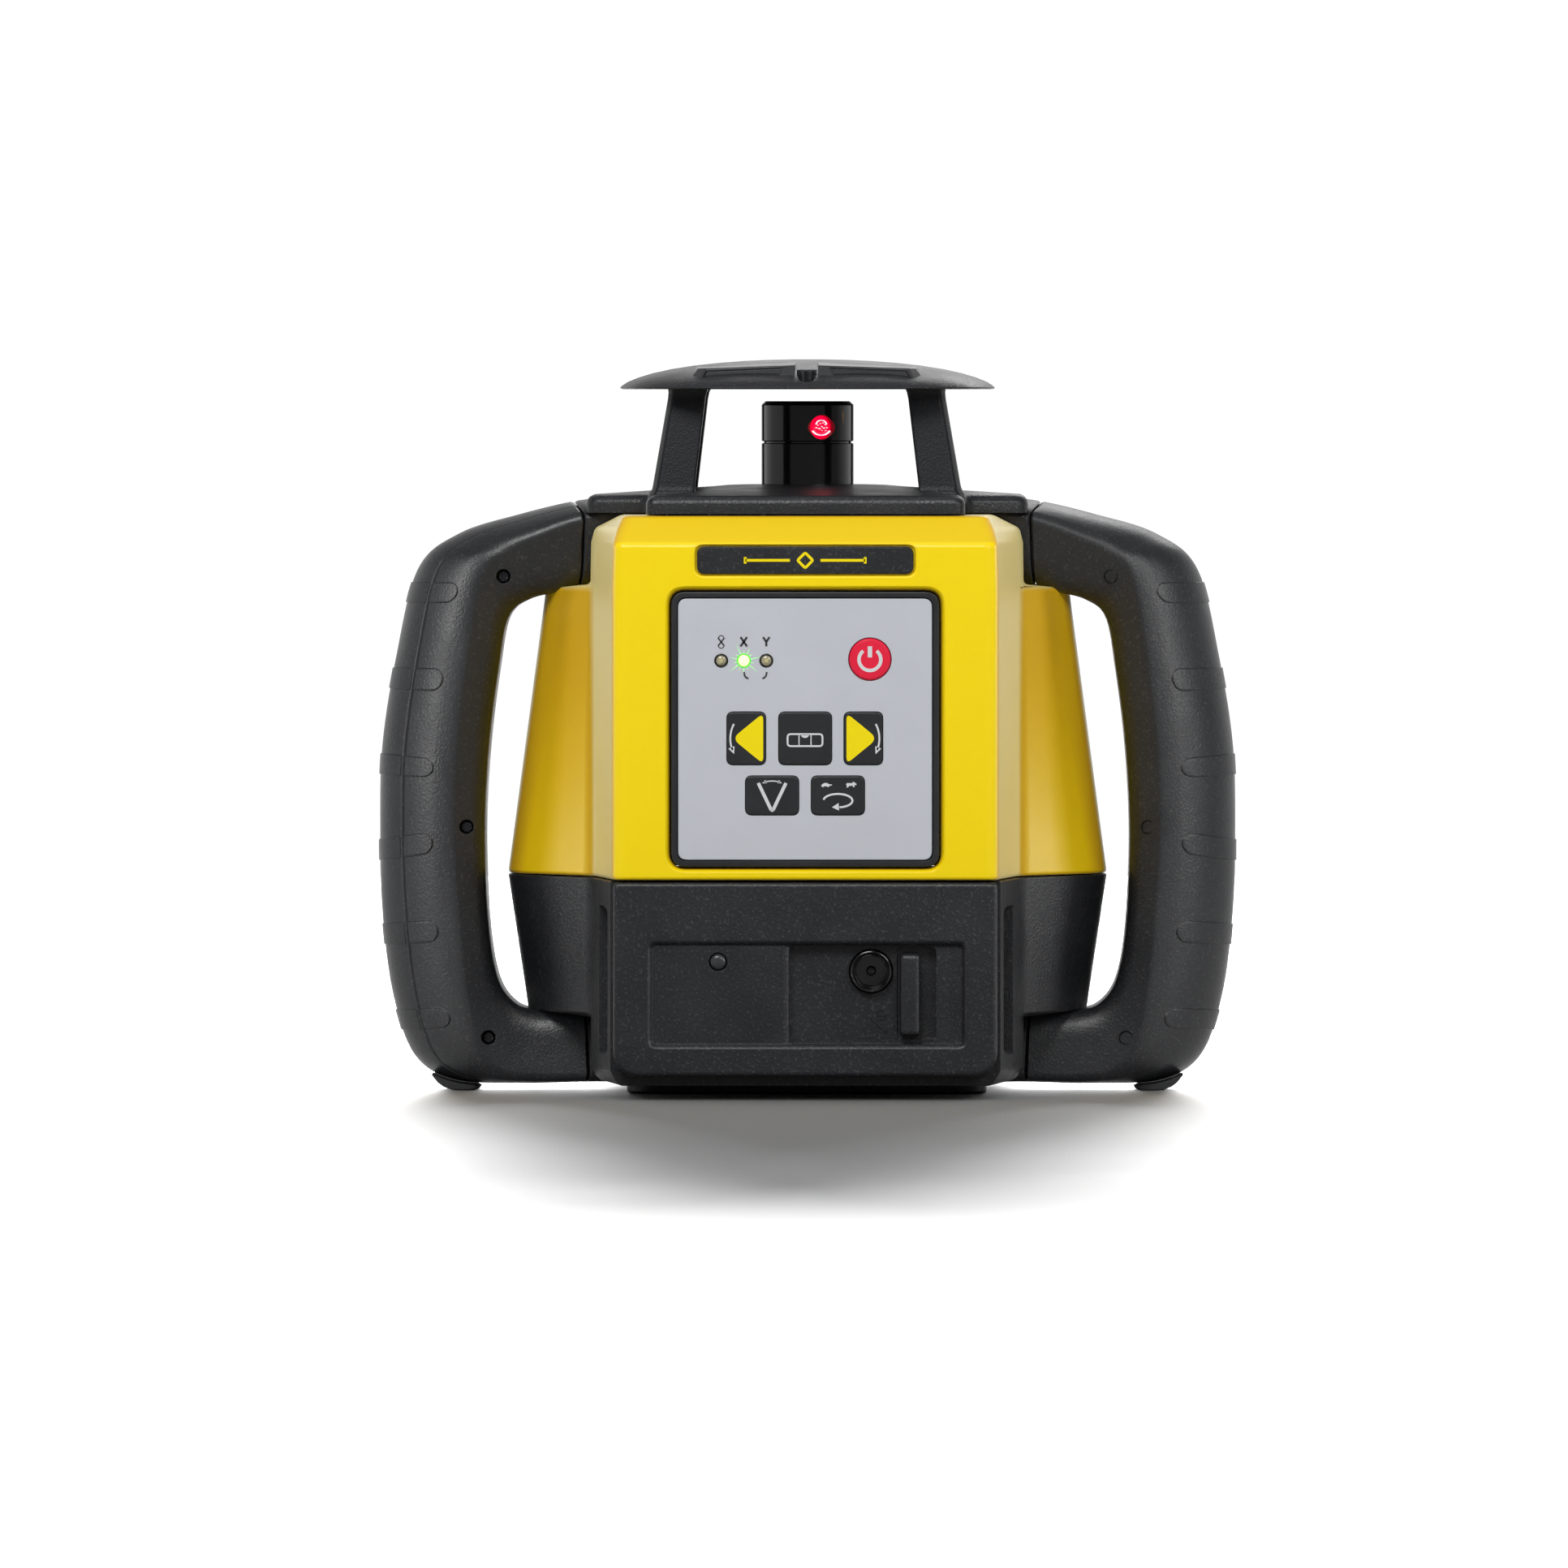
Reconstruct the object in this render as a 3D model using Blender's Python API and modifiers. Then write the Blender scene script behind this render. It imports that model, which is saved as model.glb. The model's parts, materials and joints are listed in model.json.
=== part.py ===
"""Rotating laser level for building sites.

A yellow and black housing with a D-shaped carrying handle on each side, a battery
pack that slides out of the front, a keypad, and a self-levelling laser unit on a
gimbal whose rotor spins under a protective cap on four posts.

Lengths are in millimetres until MM turns them into metres. +Z is up, -Y is the
front, and the origin lies on the rotor axis at the height of the feet.
"""

import math

import bmesh
import bpy
from mathutils import Matrix, Vector

MM = 0.001
GAP = 0.3  # clearance between pieces that touch

# Housing
FRONT = 95.0  # front face is at -FRONT, the rear face at +FRONT
SEAM_Z = 60.3  # top of the black base shell
WALL = 2.8
FLOOR_Z = 6.0
FLOOR_WALL = 3.0
PACK_PLANE = 88.7  # the base shell is open in front of this plane
DECK_Z = 161.2
CAP_Z = 195.6  # underside of the cage cap
CAP_HALF = 52.3

# Handles: half width of the section, and where its two mouldings meet
GRIP_HALF = 20.0
GRIP_ARC = math.radians(58.0)
GRIP_SPLIT = 12.5
GRIP_WALL = 2.6
SCREW_SITES = ((84.6, 143.5), (94.9, 73.7), (88.8, 15.0))

# Keypad
PANEL_Z = 102.5
KEY_FACE = -94.9
KEY_BACK = -88.9

# Battery pack
PACK_HALF = 48.0
PACK_LOW = 11.1
PACK_HIGH = 57.7
PACK_BACK = -19.9
JACK_X, JACK_Z = 18.1, 35.9
LATCH_X, LATCH_Z = 29.1, 30.0

# Laser unit
PIVOT_Z = 150.0
ROTOR_RADIUS = 12.93
BEAM_TURN = math.radians(18.5)  # the beam leaves between -Y and +X
MOTOR_Z = 89.0

ROUND = 24  # sides of an ordinary round piece

# colour, roughness, metallic
FINISHES = {
    "yellow_plastic": ((0.95, 0.70, 0.01), 0.38, 0.0),
    "black_plastic": ((0.022, 0.024, 0.027), 0.50, 0.0),
    "grey_plastic": ((0.55, 0.57, 0.62), 0.45, 0.0),
    "dark_rubber": ((0.030, 0.031, 0.033), 0.75, 0.0),
    "red_button": ((0.80, 0.02, 0.05), 0.35, 0.0),
    "green_led": ((0.10, 0.80, 0.20), 0.25, 0.0),
    "clear_led": ((0.50, 0.50, 0.52), 0.20, 0.0),
    "aluminium": ((0.60, 0.60, 0.62), 0.35, 1.0),
    "steel": ((0.45, 0.45, 0.47), 0.30, 1.0),
    "brass": ((0.70, 0.52, 0.22), 0.35, 1.0),
    "glass": ((0.02, 0.01, 0.01), 0.05, 0.0),
    "circuit_board": ((0.03, 0.20, 0.08), 0.50, 0.0),
    "copper": ((0.70, 0.35, 0.20), 0.35, 1.0),
    "cell_wrap": ((0.05, 0.15, 0.45), 0.40, 0.0),
}


# ---------------------------------------------------------------- scene tools

def clear_scene():
    for item in list(bpy.data.objects):
        bpy.data.objects.remove(item, do_unlink=True)


def make_collection(name):
    group = bpy.data.collections.new(name)
    bpy.context.scene.collection.children.link(group)
    return group


def paint(piece, finish):
    """Give a piece its own Principled material."""
    colour, roughness, metallic = FINISHES[finish]
    material = bpy.data.materials.new(piece.name)
    material.use_nodes = True
    shader = material.node_tree.nodes["Principled BSDF"]
    shader.inputs["Base Color"].default_value = (*colour, 1.0)
    shader.inputs["Roughness"].default_value = roughness
    shader.inputs["Metallic"].default_value = metallic
    piece.data.materials.append(material)


def place(name, mesh, finish):
    """Link a mesh as a named part, or as a hidden cutter when it has no finish."""
    piece = bpy.data.objects.new(name, mesh)
    if finish is None:
        CUTTERS.objects.link(piece)
        piece.hide_render = True
        piece.display_type = "WIRE"
    else:
        PARTS.objects.link(piece)
        paint(piece, finish)
    return piece


def place_bmesh(name, shape, finish, closed=True):
    if closed:
        bmesh.ops.recalc_face_normals(shape, faces=shape.faces)
    mesh = bpy.data.meshes.new(name)
    shape.to_mesh(mesh)
    shape.free()
    return place(name, mesh, finish)


def boolean(piece, operation, others):
    for other in others:
        step = piece.modifiers.new(other.name, "BOOLEAN")
        step.operation = operation
        step.solver = "EXACT"
        step.object = other


def cut(piece, *cutters):
    boolean(piece, "DIFFERENCE", cutters)


def join(piece, *others):
    boolean(piece, "UNION", others)


def keep_inside(piece, *others):
    boolean(piece, "INTERSECT", others)


def solidify(piece, thickness):
    """Thicken an open surface inwards by a distance in millimetres."""
    step = piece.modifiers.new("wall", "SOLIDIFY")
    step.thickness = thickness * MM
    step.offset = -1.0
    step.use_even_offset = True
    step.use_quality_normals = True


def joint_at(name, x, y, z, parent=None):
    """An empty on a joint's axis, which carries the pieces that move with it."""
    empty = bpy.data.objects.new(name, None)
    empty.empty_display_size = 10 * MM
    empty.matrix_world = Matrix.Translation(Vector((x, y, z)) * MM)
    PARTS.objects.link(empty)
    if parent is not None:
        empty.parent = parent
        empty.matrix_parent_inverse = parent.matrix_world.inverted()
    return empty


def hang(empty, *pieces):
    for piece in pieces:
        piece.parent = empty
        piece.matrix_parent_inverse = empty.matrix_world.inverted()


# ---------------------------------------------------------------- shape tools

def block(name, low, high, finish=None, radius=0.0, axis=1, steps=3):
    """A box between two corners, its edges along one axis rounded."""
    low, high = Vector(low), Vector(high)
    shape = bmesh.new()
    bmesh.ops.create_cube(shape, size=1.0)
    bmesh.ops.scale(shape, vec=(high - low) * MM, verts=shape.verts)
    bmesh.ops.translate(shape, vec=(high + low) * MM / 2, verts=shape.verts)
    if radius:
        edges = [edge for edge in shape.edges
                 if abs((edge.verts[1].co - edge.verts[0].co).normalized()[axis]) > 0.9]
        bmesh.ops.bevel(shape, geom=edges, offset=radius * MM, segments=steps,
                        affect="EDGES", profile=0.5)
    return place_bmesh(name, shape, finish)


def bar(name, start, end, radius, finish=None, sides=ROUND):
    """A cylinder between two points."""
    start, end = Vector(start) * MM, Vector(end) * MM
    direction = end - start
    turn = Vector((0, 0, 1)).rotation_difference(direction).to_matrix().to_4x4()
    shape = bmesh.new()
    bmesh.ops.create_cone(shape, cap_ends=True, segments=sides, radius1=radius * MM,
                          radius2=radius * MM, depth=direction.length,
                          matrix=Matrix.Translation((start + end) / 2) @ turn)
    piece = place_bmesh(name, shape, finish)
    piece.data.shade_smooth()
    piece.data.set_sharp_from_angle(angle=math.radians(40))
    return piece


def turned(name, profile, finish=None, ring=False, sides=ROUND):
    """A body turned about Z from (radius, z) points that run down its outer side."""
    shape = bmesh.new()
    points = [shape.verts.new((radius * MM, 0.0, z * MM)) for radius, z in profile]
    for first, second in zip(points, points[1:]):
        shape.edges.new((first, second))
    if ring:
        shape.edges.new((points[-1], points[0]))
    piece = place_bmesh(name, shape, finish, closed=False)
    screw = piece.modifiers.new("turn", "SCREW")
    screw.steps = sides
    screw.render_steps = sides
    screw.use_merge_vertices = True
    screw.merge_threshold = 0.00001
    screw.use_smooth_shade = False
    return piece


def tube(name, inner, outer, low, high, finish=None, sides=ROUND):
    profile = ((outer, high), (outer, low), (inner, low), (inner, high))
    return turned(name, profile, finish, ring=True, sides=sides)


def prism(name, outline, low, high, axis, finish=None):
    """A flat outline carried from low to high along an axis."""
    def lift(point, height):
        values = list(point)
        values.insert(axis, height)
        return values
    rings = [[lift(point, height) for point in outline] for height in (low, high)]
    return loft(name, rings, finish)


def loft(name, rings, finish=None, caps=(True, True), closed=True, around=True, wrap=False):
    """A skin over rings of points with one count; wrap joins the last to the first."""
    shape = bmesh.new()
    rows = [[shape.verts.new(Vector(point) * MM) for point in ring] for ring in rings]
    for low, high in zip(rows, rows[1:] + rows[:1] if wrap else rows[1:]):
        count = len(low)
        for i in range(count if around else count - 1):
            j = (i + 1) % count
            shape.faces.new((low[i], low[j], high[j], high[i]))
    if caps[0]:
        shape.faces.new(reversed(rows[0]))
    if caps[1]:
        shape.faces.new(rows[-1])
    return place_bmesh(name, shape, finish, closed=closed)


def rounded(corners, radius, steps=2):
    """A closed outline whose corners are replaced by short parabolic arcs."""
    outline = []
    corners = [Vector(corner) for corner in corners]
    for i, corner in enumerate(corners):
        before, after = corners[i - 1], corners[(i + 1) % len(corners)]
        reach = min(radius, (before - corner).length / 2.2, (after - corner).length / 2.2)
        start = corner + (before - corner).normalized() * reach
        end = corner + (after - corner).normalized() * reach
        for k in range(steps + 1):
            t = k / steps
            bend = start.lerp(corner, t).lerp(corner.lerp(end, t), t)
            outline.append((bend.x, bend.y))
    return outline


def mirrored(quarter):
    """A full plan outline from the corners of its front right quarter."""
    right_rear = [(x, -y) for x, y in reversed(quarter)]
    left_rear = [(-x, -y) for x, y in quarter]
    left_front = [(-x, y) for x, y in reversed(quarter)]
    return list(quarter) + right_rear + left_rear + left_front


def inset(corners, distance):
    """Move every side of an anticlockwise outline inwards by a distance."""
    corners = [Vector(corner) for corner in corners]
    moved = []
    for i, corner in enumerate(corners):
        into = (corner - corners[i - 1]).orthogonal().normalized()
        out = (corners[(i + 1) % len(corners)] - corner).orthogonal().normalized()
        middle = (into + out).normalized()
        moved.append(corner + middle * distance / middle.dot(into))
    return moved


def smooth_path(points, steps):
    """A Catmull-Rom curve through 2-D points."""
    points = [Vector(point) for point in points]
    padded = [2 * points[0] - points[1]] + points + [2 * points[-1] - points[-2]]
    path = []
    for a, b, c, d in zip(padded, padded[1:], padded[2:], padded[3:]):
        for k in range(steps):
            t = k / steps
            path.append(0.5 * (2 * b + (c - a) * t + (2 * a - 5 * b + 4 * c - d) * t ** 2
                               + (3 * b - a - 3 * c + d) * t ** 3))
    path.append(points[-1])
    return path


def at_height(outline, z):
    return [(x, y, z) for x, y in outline]


# ---------------------------------------------------------------- housing

def body_ring(z, front, waist, hip, side, wall=0.0):
    """The body's plan at one height, from its front corner to its side facet."""
    corners = mirrored([(x, -y) for x, y in (front, waist, hip, side)])
    return at_height(rounded(inset(corners, wall), 4.0, steps=1 if wall else 2), z)


def body_rings(low_z, low, high_z, high, wall=0.0, steps=6):
    """Rings between two plans, close enough for their twisted facets to keep their shape."""
    rings = []
    for k in range(steps + 1):
        t = k / steps
        plan = [tuple(a + (b - a) * t for a, b in zip(*pair)) for pair in zip(low, high)]
        rings.append(body_ring(low_z + (high_z - low_z) * t, *plan, wall))
    return rings


FRONT_CORNER, WAIST = (52.9, FRONT), (59.4, 46)
CORE = FRONT_CORNER, WAIST, (60.2, 30), (60.5, 8)
BULGE_LOW = FRONT_CORNER, WAIST, (74.5, 15), (77.9, 7)
BULGE_SEAM = FRONT_CORNER, WAIST, (80.5, 15), (83.6, 7)
BULGE_HIGH = FRONT_CORNER, WAIST, (67.5, 17), (71.6, 8)
HATCH = (40.0, 76), (40.0, 44), (40.0, 30), (40.0, 8)


def make_base_shell():
    sole = (51.4, 93.5), (57.9, 45), (58.9, 30), (59.2, 8)
    rings = [body_ring(FLOOR_Z, *sole), body_ring(8.0, *CORE), body_ring(22.8, *CORE),
             *body_rings(24.0, BULGE_LOW, SEAM_Z, BULGE_SEAM, steps=3)]
    shell = loft("base_shell", rings, "black_plastic")
    hollow = [body_ring(FLOOR_Z + FLOOR_WALL, *CORE, FLOOR_WALL),
              body_ring(25.6, *CORE, FLOOR_WALL),
              *body_rings(27.0, BULGE_LOW, SEAM_Z + 2, BULGE_SEAM, FLOOR_WALL, steps=3)]
    cut(shell, loft("base_hollow", hollow),
        block("pack_opening", (-70, -120, -5), (70, -PACK_PLANE, 90)),
        bar("insert_hole", (0, 0, -1), (0, 0, 12), 14.0))
    join(shell, handle_root("lower_boss", 1), handle_root("lower_boss", -1))
    return shell


def make_upper_housing():
    shoulder = FRONT_CORNER, (59.2, 46), (60.2, 30), (60.5, 8)
    neck = (52.6, FRONT), (59.0, 46), (60.0, 30), (60.3, 8)
    bevel = (51.6, 89.4), (58.0, 45), (59.0, 30), (59.3, 8)
    crown = (50.2, 84), (51.5, 44), (51.6, 30), (51.6, 8)
    rings = [*body_rings(SEAM_Z + GAP, BULGE_SEAM, 136.5, BULGE_HIGH),
             body_ring(140.0, *shoulder), body_ring(153.0, *neck), body_ring(157.0, *bevel),
             body_ring(160.8, *crown)]
    shell = loft("upper_housing", rings, "yellow_plastic")
    hollow = [*body_rings(SEAM_Z - 2, BULGE_SEAM, 134.4, BULGE_HIGH, WALL),
              body_ring(138.2, *shoulder, WALL), body_ring(152.0, *neck, WALL),
              body_ring(155.2, *bevel, WALL), body_ring(158.0, *crown, WALL),
              body_ring(158.2, *HATCH, 0.1), body_ring(166.0, *HATCH, 0.1)]
    window = block("panel_window", (-36.9, -FRONT - 5, PANEL_Z - 37.85),
                   (36.9, -85, PANEL_Z + 37.85), radius=3.5)
    recess = block("nameplate_recess", (-30.1, -FRONT - 5, 144.5),
                   (30.1, -FRONT + 1.2, 152.7), radius=2.0)
    notch = block("bracket_notch", (-90, -20.6, 140.4), (90, 20.6, 175.0))
    cut(shell, loft("housing_hollow", hollow), window, recess, notch)
    return shell


def make_base_plate():
    plate = block("base_plate", (-50, -45, 0), (50, 45, 5.7), "aluminium", radius=9, axis=2)
    cut(plate, bar("plate_hole", (0, 0, -1), (0, 0, 7), 14.0))
    insert = turned("tripod_insert", ((15.5, 14.0), (15.5, 9.3), (13.5, 9.3), (13.5, 0.0),
                                      (7.9, 0.0), (7.9, 14.0)), "brass", ring=True)
    return [plate, insert]


def make_seal():
    """A flat sealing frame inside the seam, standing on the rim of the base shell."""
    outer = body_ring(60.5, *BULGE_SEAM, WALL + 0.8)
    inner = body_ring(60.5, *BULGE_SEAM, WALL + 2.5)
    lift = Vector((0, 0, 2.9))
    raised = [[Vector(point) + lift for point in ring] for ring in (outer, inner)]
    return loft("housing_seal", [outer, raised[0], raised[1], inner], "dark_rubber",
                caps=(False, False), wrap=True)


def deck_plan(inset):
    """A cross: long blocks to the front and rear, short ones over the brackets."""
    front, side = 44 - inset, 61.5 - inset
    quarter = [(front, inset - 84), (front, inset - 26), (side, inset - 22), (side, -6)]
    return rounded(mirrored(quarter), 3.0, steps=1)


def make_top_cover():
    """Deck, side brackets that carry the handles, and the four cage posts."""
    rim = deck_plan(0.0)
    angles = [math.atan2(y, x) for x, y in rim]

    def circle(radius, z):
        return [(radius * math.cos(a), radius * math.sin(a), z) for a in angles]

    rings = [at_height(rim, DECK_Z), at_height(rim, 165.0), at_height(deck_plan(1.3), 166.4),
             circle(24.0, 168.6), circle(16.3, 168.9), circle(16.3, 165.9), circle(24.0, 165.4),
             at_height(deck_plan(3.0), 163.0), at_height(deck_plan(3.0), DECK_Z)]
    cover = loft("top_cover", rings, "black_plastic", caps=(False, False), wrap=True)
    join(cover, *(handle_root("upper_bracket", side) for side in (1, -1)))
    for x_side in (1, -1):
        for y_side in (1, -1):
            join(cover, cage_post(x_side, y_side))
    return cover


def cage_post(x_side, y_side):
    foot = [(31.5, 29.5), (43.4, 29.5), (43.4, 37.5), (40.2, 41.0), (31.5, 41.0)]
    head = [(27.9, 26.0), (38.2, 26.0), (38.2, 33.0), (35.2, 36.2), (27.9, 36.2)]
    rings = []
    for outline, z in ((foot, 165.0), (head, CAP_Z - GAP)):
        rings.append([(x * x_side, y * y_side, z) for x, y in outline])
    return loft("post", rings)


def make_cage_cap():
    rings = []
    for half, z in ((50.6, CAP_Z), (CAP_HALF, 196.0), (50.0, 197.8), (44.0, 199.8),
                    (32.0, 201.9), (18.0, 203.4), (5.0, 204.0)):
        ring = []
        for k in range(32):
            angle = 2 * math.pi * k / 32
            power = 2 / 3.2
            x = math.copysign(abs(math.cos(angle)) ** power, math.cos(angle)) * half
            y = math.copysign(abs(math.sin(angle)) ** power, math.sin(angle)) * half
            ring.append((x, y, z))
        rings.append(ring)
    cap = loft("cage_cap", rings, "black_plastic")
    notches = [block("cap_notch", (-2.6, side * 50 - 6, 198.5), (2.6, side * 50 + 6, 206))
               for side in (1, -1)]
    cut(cap, *notches)
    return cap


# ---------------------------------------------------------------- handles

# Three rails in the XZ plane, from the deck bracket round to the base boss: the
# crown of the grip, its crease, and the flat inner side.
CROWN_RAIL = ((44, 166.0), (62.6, 164.8), (81, 161.8), (98, 156.8), (108.6, 145),
              (115.0, 121), (118.9, 96), (119.5, 72), (118.9, 50), (116.0, 27),
              (110.0, 9.8), (99, 2.8), (81, 1.8), (62.4, 2.2), (54, 2.2))
CREASE_RAIL = ((44, 164.0), (62.4, 160.6), (74.3, 156.4), (84.0, 152.0), (91.0, 145.2),
               (95.6, 121.0), (98.6, 94.0), (99.2, 75.0), (98.0, 52.0), (95.6, 28.0),
               (92.2, 12.0), (86.0, 4.6), (76.0, 3.0), (62.4, 3.0), (54, 3.0))
INNER_RAIL = ((44, 141.0), (61.0, 141.0), (69.0, 139.2), (77.5, 137.0), (83.2, 132.0),
              (85.9, 118.0), (88.6, 96.0), (89.8, 72.0), (88.8, 47.0), (86.2, 31.5),
              (81.4, 24.4), (75.0, 22.4), (69.0, 22.4), (62.4, 22.4), (54, 22.4))
RAIL_STEPS = 2  # curve pieces between two rail points


def crown_share(y):
    """How far from the crease to the crown the outer arc has come at a height y."""
    angle = math.asin(y * math.sin(GRIP_ARC) / GRIP_HALF)
    return (math.cos(angle) - math.cos(GRIP_ARC)) / (1 - math.cos(GRIP_ARC))


def half_section():
    """(y, share from inner side to crease, share from crease to crown), y positive."""
    half = [(13.0, 0.0, 0.0), (16.8, 0.12, 0.0), (18.4, 0.36, 0.0)]
    for k in range(4):
        y = GRIP_HALF * math.sin(GRIP_ARC * (1 - k / 3)) / math.sin(GRIP_ARC)
        half.append((y, 1.0, crown_share(y)))
    return half


def section_row(station, profile, side):
    """Points of a section at one station; side -1 is the same piece turned about Z."""
    crown, crease, inner = station
    row = []
    for y, to_crease, to_crown in profile:
        spot = inner + (crease - inner) * to_crease + (crown - crease) * to_crown
        row.append((spot.x * side, y * side, spot.y))
    return row


def handle_stations():
    rails = [smooth_path(rail, RAIL_STEPS) for rail in (CROWN_RAIL, CREASE_RAIL, INNER_RAIL)]
    return list(zip(*rails))


def root_disc(name, side, grow=0.0):
    """The round end of a bracket, over the heights of the deck or of the floor."""
    if name == "upper_bracket":
        centre, radius, low, high = 49.9, 23.7, 120, 180
    else:
        centre, radius, low, high = 41.0, 28.3, -10, 50
    return bar(name + "_disc", (centre * side, 0, low), (centre * side, 0, high),
               radius + grow, sides=48)


def handle_root(name, side):
    """A stub with the handle's own section and a round end, fused to the housing."""
    half = half_section()
    ring = [(-y, a, b) for y, a, b in half] + [(y, a, b) for y, a, b in reversed(half[:-1])]
    stations = handle_stations()
    chosen = stations[:7] if name == "upper_bracket" else stations[-5:]
    stub = loft(name, [section_row(station, ring, side) for station in chosen])
    keep_inside(stub, root_disc(name, side))
    if name == "upper_bracket":
        low, high = sorted((38 * side, 58 * side))
        cut(stub, block("bracket_pocket", (low, -15, 145), (high, 15, 160)))
    return stub


def shell_strip(name, profile, side, near, far):
    """A moulding of a handle: a strip swept along the rails, trimmed between two planes."""
    stations = handle_stations()[RAIL_STEPS - 1:-RAIL_STEPS + 1]
    rows = [section_row(station, profile, side) for station in reversed(stations)]
    piece = loft(name, rows, "black_plastic", caps=(False, False), closed=False, around=False)
    solidify(piece, GRIP_WALL)
    low, high = sorted((near * side, far * side))
    cut(piece, block("split_trim", (-150, low, -20), (150, high, 190)),
        root_disc("upper_bracket", side, 0.4), root_disc("lower_boss", side, 0.4))
    return piece


def make_handle(label, side):
    """Main moulding, cover, three screws and a foot; side is +1 for +X."""
    half = half_section()
    main = [half[0]] + [(-y, a, b) for y, a, b in half]
    main += [(y, a, b) for y, a, b in reversed(half[:-1]) if a == 1.0 and y < GRIP_HALF - 1]
    cover = [(y, a, b) for y, a, b in reversed(half) if y > GRIP_SPLIT - 5]
    cover.append((GRIP_SPLIT - 5, 0.0, 0.0))
    main_place, cover_place = ("front", "rear") if side > 0 else ("rear", "front")
    main_shell = shell_strip(f"handle_{label}_{main_place}_shell", main, side,
                             GRIP_SPLIT - 0.2, 40)
    cover_shell = shell_strip(f"handle_{label}_{cover_place}_shell", cover, side,
                              -40, GRIP_SPLIT + 0.2)
    pieces = [main_shell, cover_shell]
    for number, (reach, z) in enumerate(SCREW_SITES, start=1):
        x = reach * side
        join(main_shell, bar("main_boss", (x, side * 12.0, z), (x, side * -17.4, z), 3.2, sides=12))
        join(cover_shell, bar("cover_boss", (x, side * 12.9, z), (x, side * 17.2, z), 3.4, sides=12))
        cut(main_shell, bar("main_bore", (x, side * 13, z), (x, side * -3, z), 1.4, sides=8))
        cut(cover_shell, bar("cover_bore", (x, side * 11, z), (x, side * 17, z), 1.4, sides=8),
            bar("head_bore", (x, side * 15.9, z), (x, side * 23, z), 2.1, sides=12))
        screw = bar(f"handle_{label}_screw_{number}", (x, side * 16.2, z), (x, side * 18.1, z),
                    1.75, "steel", sides=12)
        join(screw, bar("shank", (x, side * -1, z), (x, side * 16.8, z), 1.1, sides=8))
        pieces.append(screw)
    pieces.append(make_foot(label, side))
    return pieces


def make_foot(label, side):
    """A rubber shoe under the lower corner, whose top follows the grip's crown."""
    stations = handle_stations()
    top = [(crown.x, crown.y - GAP - 0.1) for crown, _, _ in stations
           if 90 < crown.x < 109 and crown.y < 20]
    under = [(91.5, 0.7), (94.5, 0.0), (101.0, 0.0), (106.0, 2.0), (109.5, 5.4)]
    outline = [(x * side, z) for x, z in under + top]
    return prism(f"handle_{label}_foot", outline, -12, 12, 1, "dark_rubber")


# ---------------------------------------------------------------- keypad

KEYS = (  # name, centre x, centre z, width, height
    ("left_button", -16.2, 99.9, 10.7, 14.7),
    ("level_button", 0.0, 99.9, 14.5, 14.7),
    ("right_button", 15.9, 99.9, 10.7, 14.7),
    ("scan_button", -9.1, 84.3, 14.7, 10.7),
    ("speed_button", 8.9, 84.3, 14.7, 10.7),
)
POWER_X, POWER_Z, POWER_RADIUS = 17.8, 121.4, 5.85
LED_RADIUS, LED_Z = 1.75, 121.0
LEDS = (("power_led", -23.1), ("x_axis_led", -16.9), ("y_axis_led", -10.7))


def keypad_holes():
    holes = []
    for name, x, z, width, height in KEYS:
        w, h = width / 2 + GAP, height / 2 + GAP
        holes.append(block(name + "_hole", (x - w, -99, z - h), (x + w, -89, z + h),
                           radius=1.2, steps=1))
    holes.append(bar("power_hole", (POWER_X, -99, POWER_Z), (POWER_X, -89, POWER_Z),
                     POWER_RADIUS + GAP))
    for name, x in LEDS:
        holes.append(bar(name + "_hole", (x, -99, LED_Z), (x, -89, LED_Z),
                         LED_RADIUS + GAP, sides=12))
    return holes


def make_keypad():
    """Tray, grey overlay, circuit board, name bar and the three lamps."""
    bezel = block("panel_bezel", (-36.6, KEY_FACE, PANEL_Z - 37.55),
                  (36.6, -91.2, PANEL_Z + 37.55), "black_plastic", radius=3.0)
    tray = block("tray_recess", (-34.7, -99, PANEL_Z - 35.9),
                 (34.7, -93.0, PANEL_Z + 35.9), radius=1.8, steps=2)
    overlay = block("panel_overlay", (-34.4, -94.5, PANEL_Z - 35.5),
                    (34.4, -93.3, PANEL_Z + 35.5), "grey_plastic", radius=1.6, steps=2)
    holes = keypad_holes()
    cut(bezel, tray, *holes)
    cut(overlay, *holes)
    board = block("key_board", (-32, -87.8, 72), (32, -86.2, 132), "circuit_board")
    nameplate = block("nameplate", (-29.8, KEY_FACE, 144.8), (29.8, -94.1, 152.4),
                      "black_plastic", radius=1.8)
    for name, x in LEDS:
        finish = "green_led" if name == "x_axis_led" else "clear_led"
        bar(name, (x, -94.8, LED_Z), (x, -88.8, LED_Z), LED_RADIUS, finish, sides=12)
    return [bezel, overlay, board, nameplate]


def make_buttons():
    """Each button hangs from an empty on the axis it is pressed along."""
    for name, x, z, width, height in KEYS:
        w, h = width / 2, height / 2
        button = block(name, (x - w, KEY_FACE, z - h), (x + w, KEY_BACK, z + h),
                       "black_plastic", radius=1.0, steps=1)
        hang(joint_at(name + "_press", x, KEY_FACE, z), button)
    power = bar("power_button", (POWER_X, KEY_FACE, POWER_Z), (POWER_X, KEY_BACK, POWER_Z),
                POWER_RADIUS, "red_button")
    hang(joint_at("power_button_press", POWER_X, KEY_FACE, POWER_Z), power)


# ---------------------------------------------------------------- battery pack

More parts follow.
